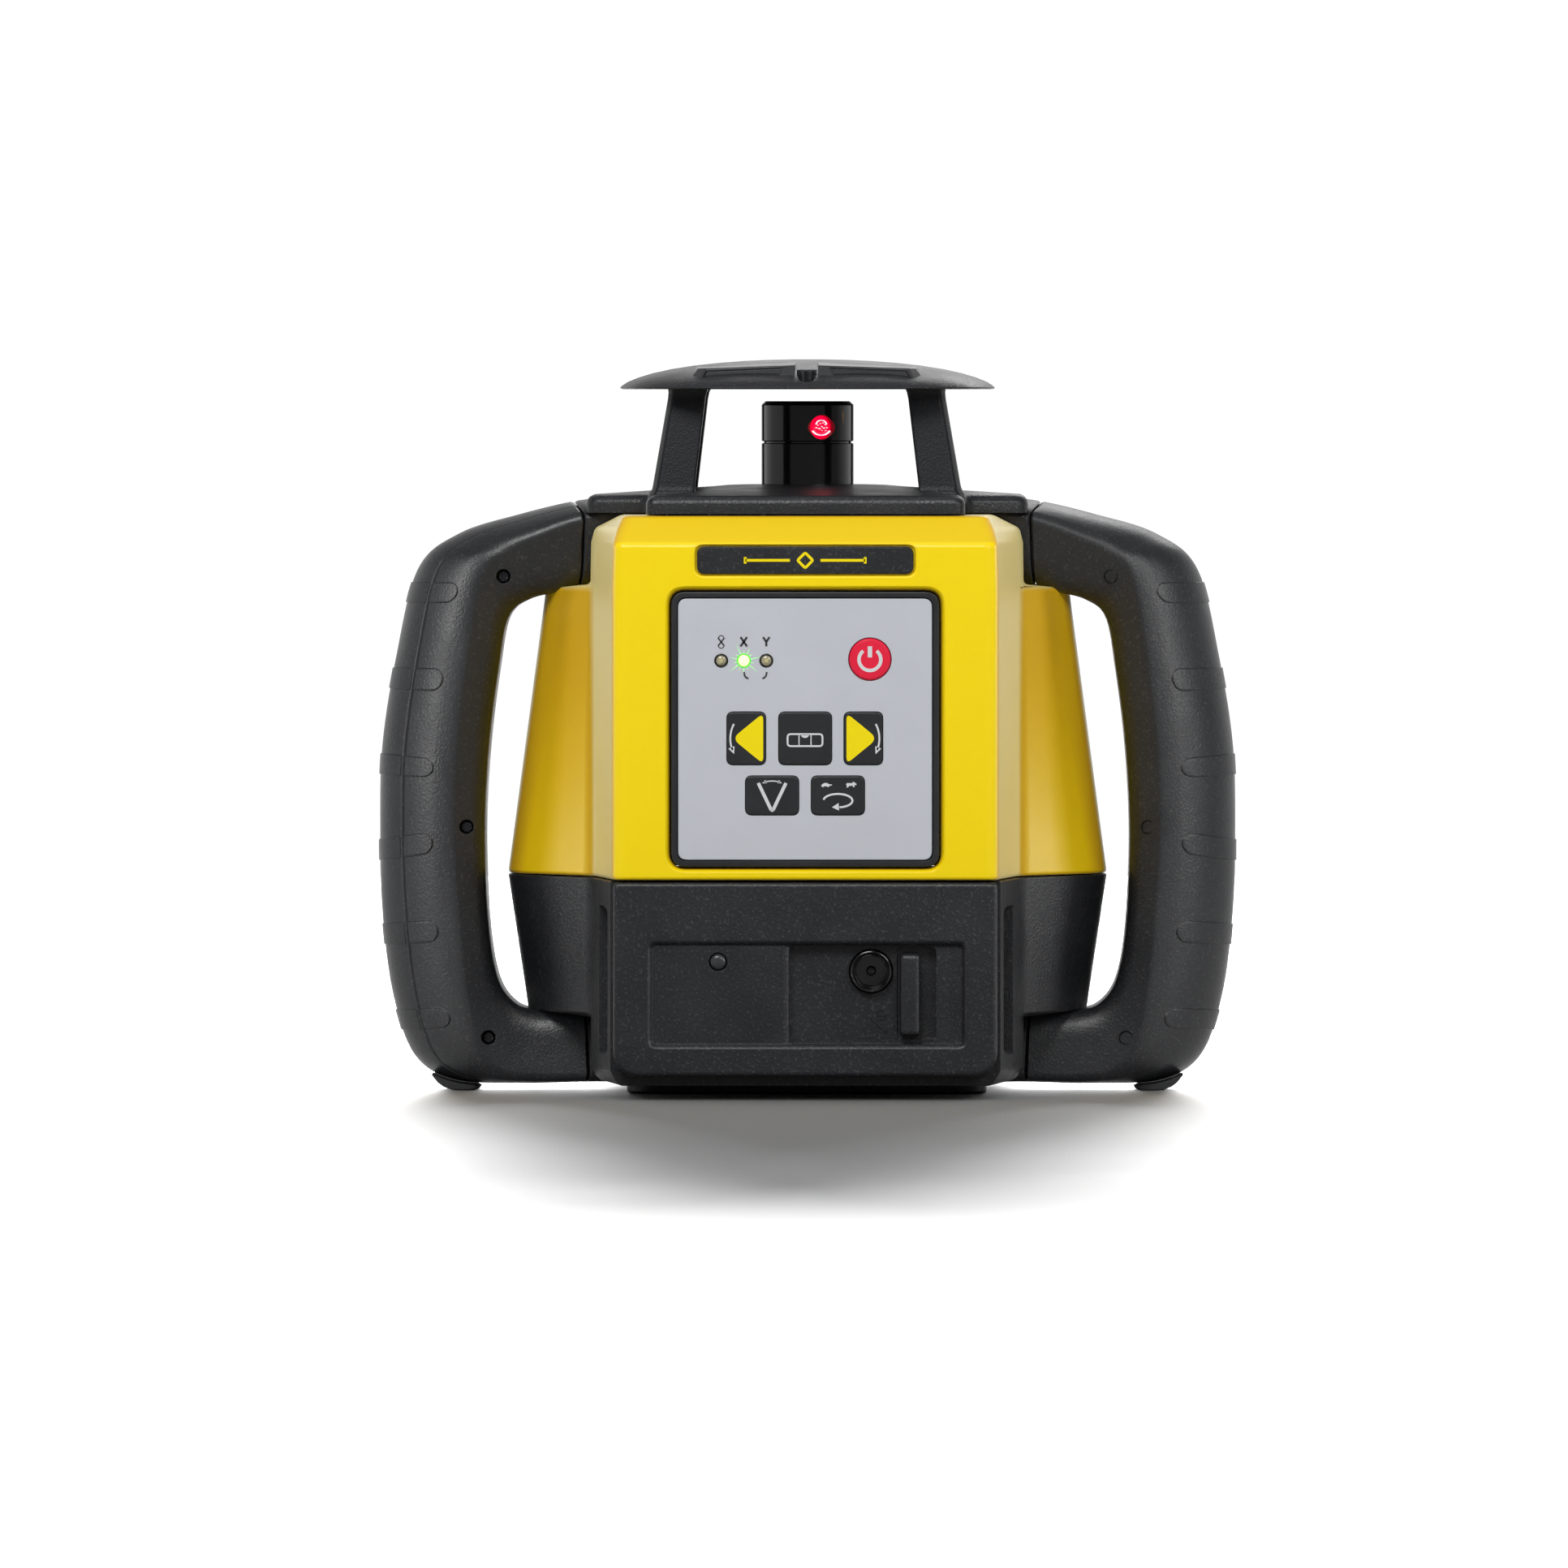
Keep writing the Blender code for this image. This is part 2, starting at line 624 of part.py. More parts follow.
def make_battery_bay():
    bay = block("battery_bay", (-49.8, -88.4, 9.3), (49.8, -16.0, 59.5), "black_plastic")
    cut(bay, block("bay_hollow", (-PACK_HALF - 0.4, -99, PACK_LOW - 0.4),
                   (PACK_HALF + 0.4, -17.2, PACK_HIGH + 0.4)))
    return bay


def make_battery():
    """The pack, its lid, cells, socket and lamp, all on the slide out of the front."""
    left_top, right_top = (-52.9, 60.0), (52.9, 60.0)
    corners = rounded([left_top, (-52.9, 6.5), (52.9, 6.5), right_top], 7.0, 3)
    face = [left_top] + corners[4:12] + [right_top]  # only the two lower corners are round
    case = prism("battery_case", face, -FRONT, -89.0, 1, "black_plastic")
    join(case, block("pack_body", (-PACK_HALF, -90, PACK_LOW), (PACK_HALF, PACK_BACK - GAP,
                                                                PACK_HIGH)))
    cut(case,
        block("pack_hollow", (-PACK_HALF + 2, -86, PACK_LOW + 2),
              (PACK_HALF - 2, 0, PACK_HIGH - 2)),
        block("shallow_recess", (-42.9, -99, 15.9), (0, -93.8, 43.7)),
        block("deep_recess", (-5.3, -99, 15.9), (35.1, -90.0, 43.7)),
        block("shelf_recess", (30, -99, 15.9), (43.3, -92.8, 43.7)),
        bar("jack_hole", (JACK_X, -99, JACK_Z), (JACK_X, -80, JACK_Z), 6.1),
        bar("lamp_hole", (-24, -99, 38.1), (-24, -80, 38.1), 2.5, sides=16))
    lid = block("battery_lid", (-PACK_HALF, PACK_BACK, PACK_LOW),
                (PACK_HALF, PACK_BACK + 2.2, PACK_HIGH), "black_plastic")
    jack = bar("charge_jack", (JACK_X, -92.6, JACK_Z), (JACK_X, -80.5, JACK_Z), 5.8,
               "black_plastic")
    cut(jack, bar("jack_bore", (JACK_X, -99, JACK_Z), (JACK_X, -83, JACK_Z), 4.2))
    lamp = bar("charge_led", (-24, -94.2, 38.1), (-24, -84.0, 38.1), 2.2, "clear_led", sides=16)
    pieces = [case, lid, jack, lamp]
    for number in range(4):
        x = (number - 1.5) * 22.6
        pieces.append(bar(f"battery_cell_{number + 1}", (x, -67.5, 34.4), (x, -24.5, 34.4),
                          11.1, "cell_wrap"))
    slide = joint_at("battery_slide", 0, -FRONT, 34.4)
    hang(slide, *pieces)
    latch = block("battery_latch", (LATCH_X - 2.55, -94.8, LATCH_Z - 12),
                  (LATCH_X + 2.55, -90.3, LATCH_Z + 12), "black_plastic", radius=1.0, steps=2)
    hang(joint_at("latch_slide", LATCH_X, -92.5, LATCH_Z, slide), latch)


# ---------------------------------------------------------------- laser unit

def make_chassis():
    """Gimbal ring carrier with legs up to the deck and arms down to the motors."""
    chassis = tube("chassis", 33.0, 39.0, 145.0, 155.0, "aluminium")
    for k in range(4):
        angle = math.radians(45 + 90 * k)
        x, y = 36 * math.cos(angle), 36 * math.sin(angle)
        join(chassis, bar("leg", (x, y, 150), (x, y, 161.8), 2.6, sides=12))
    arm = ((37, 146.3), (39.7, 146.3), (39.7, 80), (43.4, 80), (43.4, 153.7), (37, 153.7))
    join(chassis, prism("arm_x", arm, -7, 7, 1), prism("arm_y", arm, -7, 7, 0))
    cut(chassis, bar("pin_holes", (-40, 0, PIVOT_Z), (40, 0, PIVOT_Z), 2.4, sides=16))
    motors = []
    for axis, name in ((Vector((1, 0, 0)), "x"), (Vector((0, 1, 0)), "y")):
        height = Vector((0, 0, MOTOR_Z))
        motor = bar(f"levelling_motor_{name}", height + axis * 20, height + axis * 39.4,
                    7.0, "steel", sides=20)
        cut(motor, bar("motor_bore", height + axis * 15, height + axis * 38, 2.5, sides=16))
        motors.append(motor)
    return [chassis] + motors


def make_gimbal():
    """Gimbal ring on X pins, and the laser barrel that it carries on Y pins."""
    ring = tube("gimbal_ring", 19.0, 27.0, 146.0, 154.0, "aluminium")
    for side in (1, -1):
        join(ring, bar("outer_pin", (side * 25, 0, PIVOT_Z), (side * 37, 0, PIVOT_Z), 2.0,
                       sides=16))
        join(ring, bar("inner_pin", (0, side * 21, PIVOT_Z), (0, side * 8, PIVOT_Z), 2.0,
                       sides=16))
    tilt_x = joint_at("tilt_x", 0, 0, PIVOT_Z)
    hang(tilt_x, ring)

    barrel = turned("laser_barrel", ((11.0, 165.0), (11.0, 92.0), (12.0, 92.0), (12.0, 84.0),
                                     (6.5, 84.0), (6.5, 165.0)), "aluminium", ring=True)
    cut(barrel, bar("barrel_holes", (0, -14, PIVOT_Z), (0, 14, PIVOT_Z), 2.4, sides=16))
    pieces = [
        barrel,
        tube("turret_sleeve", 11.3, ROTOR_RADIUS, 158.0, 180.4, "black_plastic", sides=36),
        tube("motor_stator", 6.0, 11.0, 165.4, 173.0, "copper"),
        tube("spindle_bearing", 4.4, 11.0, 173.4, 179.6, "steel"),
        turned("diode_module", ((0, 100.0), (6.2, 100.0), (6.2, 84.0), (0, 84.0)), "brass",
               sides=20),
        turned("collimator_lens", ((0, 111.5), (3.5, 111.0), (6.2, 109.6), (6.2, 107.0),
                                   (0, 107.0)), "glass", sides=20),
    ]
    tilt_y = joint_at("tilt_y", 0, 0, PIVOT_Z, tilt_x)
    hang(tilt_y, *pieces)
    return tilt_y


def make_rotor(tilt_y):
    """The spinning head: hollow spindle, prism and a side window towards the beam."""
    head = turned("rotor_head", ((0, 192.3), (ROTOR_RADIUS - 1.2, 192.3), (ROTOR_RADIUS, 191.2),
                                 (ROTOR_RADIUS, 181.0), (0, 181.0)), "black_plastic", sides=36)
    chamber = block("prism_chamber", (-6.4, -15, 182.4), (6.4, 5.4, 190.4))
    window = block("rotor_window", (-6.1, -11.9, 182.7), (6.1, -10.3, 190.1), "glass")
    corners = ((-3.4, 1.6), (-3.4, -4.6), (3.4, -4.6), (3.4, 1.6), (0.0, 5.0))
    glass = prism("penta_prism", corners, 183.4, 189.8, 2, "glass")
    cut(head, chamber, bar("spindle_hole", (0, 0, 178), (0, 0, 185), 4.3))
    spindle = turned("spindle", ((4.0, 182.9), (4.0, 173.2), (5.5, 173.0), (5.5, 165.8),
                                 (2.5, 165.8), (2.5, 182.9)), "steel", ring=True)
    for piece in (window, glass, chamber):
        piece.data.transform(Matrix.Rotation(BEAM_TURN, 4, "Z"))
    hang(joint_at("rotor_spin", 0, 0, 186.6, tilt_y), head, window, glass, spindle)


def make_push_rods():
    """Lead screws that the levelling motors push against the foot of the barrel."""
    for axis, name in ((Vector((1, 0, 0)), "x"), (Vector((0, 1, 0)), "y")):
        height = Vector((0, 0, MOTOR_Z))
        rod = bar(f"push_rod_{name}", height + axis * 12.8, height + axis * 29, 2.1, "steel",
                  sides=12)
        start = height + axis * 12.8
        hang(joint_at(f"rod_{name}_slide", start.x, start.y, start.z), rod)


def make_main_board():
    return block("main_board", (-40, 69.2, 70), (40, 70.8, 130), "circuit_board")


# ---------------------------------------------------------------- assembly

def main():
    make_base_shell()
    make_upper_housing()
    make_base_plate()
    make_seal()
    make_top_cover()
    make_cage_cap()
    for label, side in (("left", -1), ("right", 1)):
        make_handle(label, side)
    make_keypad()
    make_buttons()
    make_battery_bay()
    make_battery()
    make_chassis()
    tilt_y = make_gimbal()
    make_rotor(tilt_y)
    make_push_rods()
    make_main_board()


clear_scene()
PARTS = make_collection("rotating_laser_level")
CUTTERS = make_collection("cutters")
main()
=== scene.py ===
import json
from math import asin, atan2, copysign, cos, degrees, pi, radians, sin, sqrt

import bmesh
import bpy
from mathutils import Matrix, Vector

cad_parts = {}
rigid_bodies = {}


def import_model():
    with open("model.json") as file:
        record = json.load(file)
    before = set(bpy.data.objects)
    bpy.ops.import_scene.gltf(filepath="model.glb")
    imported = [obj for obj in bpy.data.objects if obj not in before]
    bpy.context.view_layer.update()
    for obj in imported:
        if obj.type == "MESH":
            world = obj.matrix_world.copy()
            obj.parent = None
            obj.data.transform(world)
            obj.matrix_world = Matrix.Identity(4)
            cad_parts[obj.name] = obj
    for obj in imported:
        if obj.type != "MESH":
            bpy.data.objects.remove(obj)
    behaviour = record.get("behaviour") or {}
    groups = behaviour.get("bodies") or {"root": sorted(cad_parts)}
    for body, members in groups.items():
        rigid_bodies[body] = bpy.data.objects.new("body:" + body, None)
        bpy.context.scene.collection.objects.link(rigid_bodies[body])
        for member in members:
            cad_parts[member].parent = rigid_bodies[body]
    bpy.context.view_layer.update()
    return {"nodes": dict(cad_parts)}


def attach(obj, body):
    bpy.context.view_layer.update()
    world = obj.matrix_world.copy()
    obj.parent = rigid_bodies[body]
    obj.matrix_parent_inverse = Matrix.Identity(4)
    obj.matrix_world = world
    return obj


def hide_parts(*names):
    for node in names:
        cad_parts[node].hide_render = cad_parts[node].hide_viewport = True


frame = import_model()

MM = 0.001
FRONT = 95.0  # the front plane, millimetres ahead of the axis
SHARP = 32  # degrees between faces that still shade as one
scene = bpy.context.scene


# ---------------------------------------------------------------- materials

def node(tree, kind, **values):
    made = tree.nodes.new("ShaderNode" + kind)
    for key, value in values.items():
        if hasattr(made, key):
            setattr(made, key, value)
        else:
            made.inputs[key.replace("_", " ").title()].default_value = value
    return made


def finish(name, colour, roughness, grain=0.5, relief=0.02, mottle=0.06, mottle_size=14.0,
        metallic=0.0, spread=0.05, edge=0.0, stretch=None, gloss=0.5, painted_shade_and_reflection=(), painted_glint=0.0,
        **sockets):
    """A procedural finish: mottled colour, uneven roughness and a fine moulded grain.

    grain and mottle_size are feature sizes, relief the grain's depth and edge a rounding
    radius, all in millimetres; the list of (from, to, colour) gives painted shade and painted
    reflection, colours mixed in as the surface turns away from the view; the fleck lightness
    makes sparse pale flecks, painted glints; other names are sockets of the shader."""
    made = bpy.data.materials.new(name)
    made.use_nodes = True
    tree = made.node_tree
    link = tree.links.new
    shader = tree.nodes["Principled BSDF"].inputs
    shader["Metallic"].default_value = metallic
    shader["Specular IOR Level"].default_value = gloss
    for key, value in sockets.items():
        shader[key.replace("_", " ").title()].default_value = value
    coords = node(tree, "TexCoord").outputs["Object"]
    if stretch:
        mapping = node(tree, "Mapping", Scale=stretch)
        link(coords, mapping.inputs["Vector"])
        coords = mapping.outputs["Vector"]

    def noise(size, detail):
        texture = node(tree, "TexNoise", Scale=1.0 / (size * MM), Detail=detail)
        link(coords, texture.inputs["Vector"])
        return texture.outputs["Fac"]

    def ranged(source, target, *spans):
        spans = dict(zip(("From_Min", "From_Max", "To_Min", "To_Max"), spans))
        stretched = node(tree, "MapRange", **spans)
        link(source, stretched.inputs["Value"])
        link(stretched.outputs["Result"], target)

    def blended(source, first, last, low, high):
        """A colour that runs from low to high as a value runs from first to last."""
        mix = node(tree, "Mix", data_type="RGBA")
        mix.inputs[7].default_value = (*high, 1.0)
        if isinstance(low, tuple):
            mix.inputs[6].default_value = (*low, 1.0)
        else:
            link(low, mix.inputs[6])
        ranged(source, mix.inputs[0], first, last)
        return mix.outputs[2]

    broad = noise(mottle_size, 3.0)
    fine = noise(grain, 2.0)
    low, high = (tuple(min(1.0, part * (1 + sign * mottle)) for part in colour)
        for sign in (-1, 1))
    tint = blended(broad, 0.3, 0.7, low, high)
    facing = node(tree, "LayerWeight").outputs["Facing"]
    # painted shade and painted reflection, mixed into the colour where the surface turns away from
    # the view
    for first, last, shade in painted_shade_and_reflection:
        tint = blended(facing, first, last, tint, shade)
    # sparse pale flecks, lighter than the plastic: painted glints
    if painted_glint:
        tint = blended(fine, 0.58, 0.70, tint, (painted_glint, painted_glint, painted_glint * 1.1))
    link(tint, shader["Base Color"])
    ranged(broad, shader["Roughness"], 0.3, 0.7, roughness - spread, roughness + spread)
    bump = node(tree, "Bump", Strength=1.0, Distance=relief * MM)
    link(fine, bump.inputs["Height"])
    if edge:
        bevel = node(tree, "Bevel", samples=4, Radius=edge * MM)
        link(bevel.outputs["Normal"], bump.inputs["Normal"])
    link(bump.outputs["Normal"], shader["Normal"])
    return made


BLACK = (0.0115, 0.0125, 0.0148)
YELLOW = (0.97, 0.715, 0.0)
# painted shade (gold) and painted reflection (cream) that the yellow takes on as it turns away
# from the view
PAINTED_SHADE_GOLD = (0.80, 0.47, 0.012)
PAINTED_REFLECTION_CREAM = (0.98, 0.82, 0.34)
# the yellow plastic, with painted shade and painted reflection on the surfaces turned away from
# the view
yellow = finish("yellow_plastic", YELLOW, 0.30, 0.6, 0.0, mottle=0.006, mottle_size=60.0,
    spread=0.01, edge=0.35, gloss=0.38, painted_shade_and_reflection=((0.3, 0.62, PAINTED_SHADE_GOLD), (0.72, 0.90, PAINTED_REFLECTION_CREAM)))
# the grained and satin blacks both carry sparse pale flecks: painted glints
grained = finish("black_grained", BLACK, 0.38, 0.7, 0.12, edge=0.35, gloss=0.47, painted_glint=0.040)
smooth_black = finish("black_satin", (0.0125, 0.0135, 0.0155), 0.37, 0.7, 0.08, edge=0.30,
    gloss=0.48, painted_glint=0.034)
cage_black = finish("black_cage", BLACK, 0.42, 0.6, 0.10, edge=0.30, gloss=0.22)
# a lighter copy of the cap's black for its raised tiers: painted light on the tiers
tier_painted_light = finish("black_tier_painted_light", (0.020, 0.021, 0.023), 0.32, 0.8, 0.12, edge=0.25, gloss=0.62)
polished = finish("black_polished", (0.006, 0.006, 0.007), 0.13, 6, 0.002, spread=0.02, edge=0.25)
matt_black = finish("black_matt", (0.012, 0.012, 0.013), 0.55, 0.4, 0.03)
# near black, darker than the plastic: painted shade for the groove round the grip marks
painted_groove_shade = finish("black_painted_groove_shade", (0.002, 0.002, 0.002), 0.6, gloss=0.15)
rubber = finish("black_rubber", (0.020, 0.021, 0.022), 0.72, 0.3, 0.03, edge=0.5)
overlay_grey = finish("overlay_grey", (0.54, 0.56, 0.605), 0.40, 0.25, 0.004, mottle=0.015,
    edge=0.2)
bezel_black = finish("bezel_black", (0.014, 0.015, 0.017), 0.36, 0.5, 0.01, edge=0.3)
key_black = finish("key_black", (0.013, 0.014, 0.016), 0.38, 0.25, 0.006, edge=0.3)
red_key = finish("red_key", (0.80, 0.008, 0.045), 0.34, 0.3, 0.006, mottle=0.03, edge=0.5)
ink_white = finish("ink_white", (0.68, 0.69, 0.70), 0.45, 0.2, 0.003, mottle=0.02)
ink_yellow = finish("ink_yellow", (0.93, 0.74, 0.0), 0.45, 0.2, 0.003, gloss=0.25, mottle=0.02)
ink_dark = finish("ink_dark", (0.035, 0.037, 0.040), 0.45, 0.2, 0.003)
steel = finish("steel", (0.52, 0.52, 0.54), 0.28, 0.3, 0.004, metallic=1.0, stretch=(1, 1, 0.1))
dark_steel = finish("dark_steel", (0.05, 0.05, 0.055), 0.30, 0.3, 0.01, metallic=1.0, edge=0.15)
aluminium = finish("aluminium", (0.62, 0.63, 0.65), 0.38, 0.4, 0.01, metallic=1.0)
brass = finish("brass", (0.72, 0.52, 0.22), 0.32, 0.3, 0.005, metallic=1.0)
copper = finish("copper_winding", (0.62, 0.28, 0.13), 0.35, 0.5, 0.05, metallic=1.0,
    stretch=(1, 1, 3))
circuit = finish("circuit_board", (0.02, 0.16, 0.06), 0.38, 1.2, 0.02, mottle=0.25, mottle_size=4)
wrap = finish("cell_wrap", (0.04, 0.12, 0.40), 0.32, 0.5, 0.004)
lens = finish("lens_glass", (0.85, 0.88, 0.90), 0.05, 6, 0.001, spread=0.02,
    Transmission_Weight=0.9)
lamp_clear = finish("lamp_clear", (0.34, 0.31, 0.20), 0.16, 0.6, 0.02, mottle=0.3, mottle_size=0.9,
    spread=0.04, Coat_Weight=0.6)
lamp_dim = finish("lamp_dim", (0.035, 0.037, 0.040), 0.30, 0.6, 0.02, mottle=0.1)
lamp_die = finish("lamp_die", (0.50, 0.44, 0.22), 0.35, 0.3, 0.01, mottle=0.2)
# pale green patches round the lit green lamp: painted glare rays
ray_green = finish("ray_green", (0.40, 0.85, 0.35), 0.5, 0.6, 0.002,
    Emission_Color=(0.45, 1.0, 0.40, 1), Emission_Strength=0.35)
lamp_green = finish("lamp_green", (0.45, 0.95, 0.25), 0.2, 0.6, 0.01,
    Emission_Color=(0.55, 1.0, 0.25, 1), Emission_Strength=2.2)
glow_green = finish("glow_green", (0.08, 0.55, 0.03), 0.4, 0.6, 0.01,
    Emission_Color=(0.05, 0.75, 0.0, 1), Emission_Strength=0.55)
glow_red = finish("glow_red", (0.5, 0.0, 0.01), 0.15, 0.8, 0.05,
    Emission_Color=(1.0, 0.0, 0.03, 1), Emission_Strength=1.6)
glow_white = finish("glow_white", (0.9, 0.5, 0.5), 0.2, 0.4, 0.02,
    Emission_Color=(1.0, 0.45, 0.5, 1), Emission_Strength=2.2)
glow_halo = finish("glow_halo", (0.10, 0.002, 0.004), 0.14, 6, 0.002,
    Emission_Color=(0.55, 0.0, 0.01, 1), Emission_Strength=0.35)
amber = finish("amber_coating", (0.30, 0.16, 0.03), 0.2, 6, 0.002)
floor_white = finish("floor_white", (0.92, 0.92, 0.92), 0.9, 3, 0.01, mottle=0.004,
    mottle_size=400)


# ---------------------------------------------------------------- mesh tools

def linked(name, shape):
    """An object of a bmesh, linked into the scene."""
    mesh = bpy.data.meshes.new(name)
    shape.to_mesh(mesh)
    shape.free()
    made = bpy.data.objects.new(name, mesh)
    scene.collection.objects.link(made)
    return made


def place(name, shape):
    """An object of a bmesh that is drawn in millimetres."""
    bmesh.ops.recalc_face_normals(shape, faces=shape.faces)
    bmesh.ops.scale(shape, vec=(MM, MM, MM), verts=shape.verts)
    return linked(name, shape)


def settle(piece):
    """Turn a piece's modifiers into plain mesh."""
    graph = bpy.context.evaluated_depsgraph_get()
    mesh = bpy.data.meshes.new_from_object(piece.evaluated_get(graph))
    piece.modifiers.clear()
    piece.data = mesh


def combine(piece, operation, others):
    """Boolean a piece with others, which are used up."""
    for other in others:
        step = piece.modifiers.new(other.name, "BOOLEAN")
        step.operation = operation
        step.solver = "EXACT"
        step.object = other
    settle(piece)
    for other in others:
        bpy.data.objects.remove(other)
    return piece


def cut(piece, *others):
    return combine(piece, "DIFFERENCE", others)


def soften(piece, width, angle=35, segments=3):
    """Round the edges that turn by more than an angle; the width is in millimetres."""
    step = piece.modifiers.new("edges", "BEVEL")
    step.width = width * MM
    step.segments = segments
    step.limit_method = "ANGLE"
    step.angle_limit = radians(angle)
    step.use_clamp_overlap = False
    settle(piece)
    return piece


def show(piece, paint, nodes=(), body="housing"):
    """Give a piece its shading, finish, body and the CAD nodes it stands for."""
    piece.data.shade_smooth()
    piece.data.set_sharp_from_angle(angle=radians(SHARP))
    weighted = piece.modifiers.new("even_normals", "WEIGHTED_NORMAL")
    weighted.keep_sharp = True
    settle(piece)
    piece.data.materials.clear()
    piece.data.materials.append(paint)
    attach(piece, body)
    if nodes:
        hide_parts(*nodes)
    return piece


def merge(name, pieces):
    """One object from several closed shells."""
    shape = bmesh.new()
    for piece in pieces:
        shape.from_mesh(piece.data)
        bpy.data.objects.remove(piece)
    return linked(name, shape)


def loft(name, rings, wrap=False):
    """A skin through rings of points: capped at both ends, or wrapped back to its start."""
    shape = bmesh.new()
    rows = [[shape.verts.new(point) for point in ring] for ring in rings]
    for low, high in zip(rows, rows[1:] + rows[:1] if wrap else rows[1:]):
        count = len(low)
        for i in range(count):
            j = (i + 1) % count
            shape.faces.new((low[i], low[j], high[j], high[i]))
    if not wrap:
        shape.faces.new(reversed(rows[0]))
        shape.faces.new(rows[-1])
    return place(name, shape)


def rounded(corners, radius, steps=6):
    """A closed outline whose corners are replaced by short parabolic arcs."""
    outline = []
    corners = [Vector(corner) for corner in corners]
    radii = radius if isinstance(radius, (tuple, list)) else [radius] * len(corners)
    for i, corner in enumerate(corners):
        before, after = corners[i - 1], corners[(i + 1) % len(corners)]
        reach = min(radii[i], (before - corner).length / 2.2, (after - corner).length / 2.2)
        start = corner + (before - corner).normalized() * reach
        end = corner + (after - corner).normalized() * reach
        for k in range(steps + 1):
            t = k / steps
            bend = start.lerp(corner, t).lerp(corner.lerp(end, t), t)
            outline.append((bend.x, bend.y))
    return outline


def mirrored(quarter):
    """A quarter outline carried round all four corners."""
    right_rear = [(x, -y) for x, y in reversed(quarter)]
    left_rear = [(-x, -y) for x, y in quarter]
    left_front = [(-x, y) for x, y in reversed(quarter)]
    return list(quarter) + right_rear + left_rear + left_front


def inset(corners, distance):
    """Move every side of an anticlockwise outline inwards by a distance."""
    corners = [Vector(corner) for corner in corners]
    moved = []
    for i, corner in enumerate(corners):
        into = (corner - corners[i - 1]).orthogonal().normalized()
        out = (corners[(i + 1) % len(corners)] - corner).orthogonal().normalized()
        middle = (into + out).normalized()
        moved.append(corner + middle * distance / middle.dot(into))
    return moved


def at_height(outline, z):
    return [(x, y, z) for x, y in outline]


def box(low_x, low_z, high_x, high_z):
    """The corners of a rectangle, anticlockwise."""
    return [(low_x, low_z), (high_x, low_z), (high_x, high_z), (low_x, high_z)]


def plate(name, low, high, radius, profile, steps=6):
    """A rounded rectangle in the XZ plane; profile lists (y, how far it is grown)."""
    radii = list(radius) if isinstance(radius, (tuple, list)) else [radius] * 4
    rings = []
    for y, grow in profile:
        corners = box(low[0] - grow, low[1] - grow, high[0] + grow, high[1] + grow)
        outline = rounded(corners, [max(0.05, part + grow) for part in radii], steps)
        rings.append([(x, y, z) for x, z in outline])
    return loft(name, rings)


def lathe(name, profile, steps, ring=False, turn=None):
    """A body turned about Z from (radius, z) points; radius 0 closes it."""
    shape = bmesh.new()
    rows = []
    for radius, z in profile:
        if radius == 0:
            rows.append([shape.verts.new((0, 0, z))])
        else:
            turns = [2 * pi * k / steps for k in range(steps)]
            rows.append([shape.verts.new((radius * cos(a), radius * sin(a), z)) for a in turns])
    for low, high in zip(rows, rows[1:] + rows[:1] if ring else rows[1:]):
        for k in range(steps):
            j = (k + 1) % steps
            around = [row[i % len(row)] for row, i in ((low, k), (low, j), (high, j), (high, k))]
            shape.faces.new(list(dict.fromkeys(around)))
    if turn is not None:
        bmesh.ops.transform(shape, matrix=turn, verts=shape.verts)
    return place(name, shape)


def drum(radius, low, high):
    """The profile of a plain cylinder, for lathe."""
    return ((0, low), (radius, low), (radius, high), (0, high))


def facing(x, z, depth=0, side=-1):
    """Carries a lathe's axis from +Z to side * Y, starting at a depth on that side."""
    return Matrix.Translation((x, side * depth, z)) @ Matrix.Rotation(radians(-90 * side), 4, "X")


def block(name, low, high):
    corners = box(low[0], low[1], high[0], high[1])
    return loft(name, [at_height(corners, z) for z in (low[2], high[2])])


def prism(name, outline, low, high, axis=1):
    """A plane outline drawn out along an axis, 1 for Y or 2 for Z."""
    return loft(name, [[(*point[:axis], height, *point[axis:]) for point in outline]
        for height in (low, high)])


def spline(points, s):
    """A point at a continuous index on a Catmull-Rom curve."""
    last = len(points) - 1
    i = min(max(int(s), 0), last - 1)
    t = s - i
    b, c = Vector(points[i]), Vector(points[i + 1])
    a = Vector(points[i - 1]) if i > 0 else 2 * b - c
    d = Vector(points[i + 2]) if i + 2 <= last else 2 * c - b
    return 0.5 * (2 * b + (c - a) * t + (2 * a - 5 * b + 4 * c - d) * t ** 2
        + (3 * b - a - 3 * c + d) * t ** 3)


# ---------------------------------------------------------------- housing

FRONT_CORNER, WAIST = (52.9, FRONT), (59.4, 46)
CORE = FRONT_CORNER, WAIST, (60.2, 30), (60.5, 8)
BULGE_LOW = FRONT_CORNER, WAIST, (74.5, 15), (77.9, 7)
BULGE_SEAM = FRONT_CORNER, WAIST, (80.5, 15), (83.6, 7)
BULGE_HIGH = FRONT_CORNER, WAIST, (68.6, 17), (73, 8)
SHOULDER = FRONT_CORNER, (59.2, 46), (60.2, 30), (60.5, 8)
NECK = (52.6, FRONT), (59, 46), (60, 30), (60.3, 8)
BEVEL = (51.6, 89.4), (58, 45), (59, 30), (59.3, 8)
CROWN = (50.2, 84), (51.5, 44), (51.6, 30), (51.6, 8)
SOLE = (51.4, 93.5), (57.9, 45), (58.9, 30), (59.2, 8)
HATCH = (40, 76), (40, 44), (40, 30), (40, 8)
SHELL_WALL = 2.8
INSERT_RADIUS = 14  # of the tripod thread's insert, with its clearance
DECK_SCREW_X, DECK_SCREW_Y = 56.2, 14.5


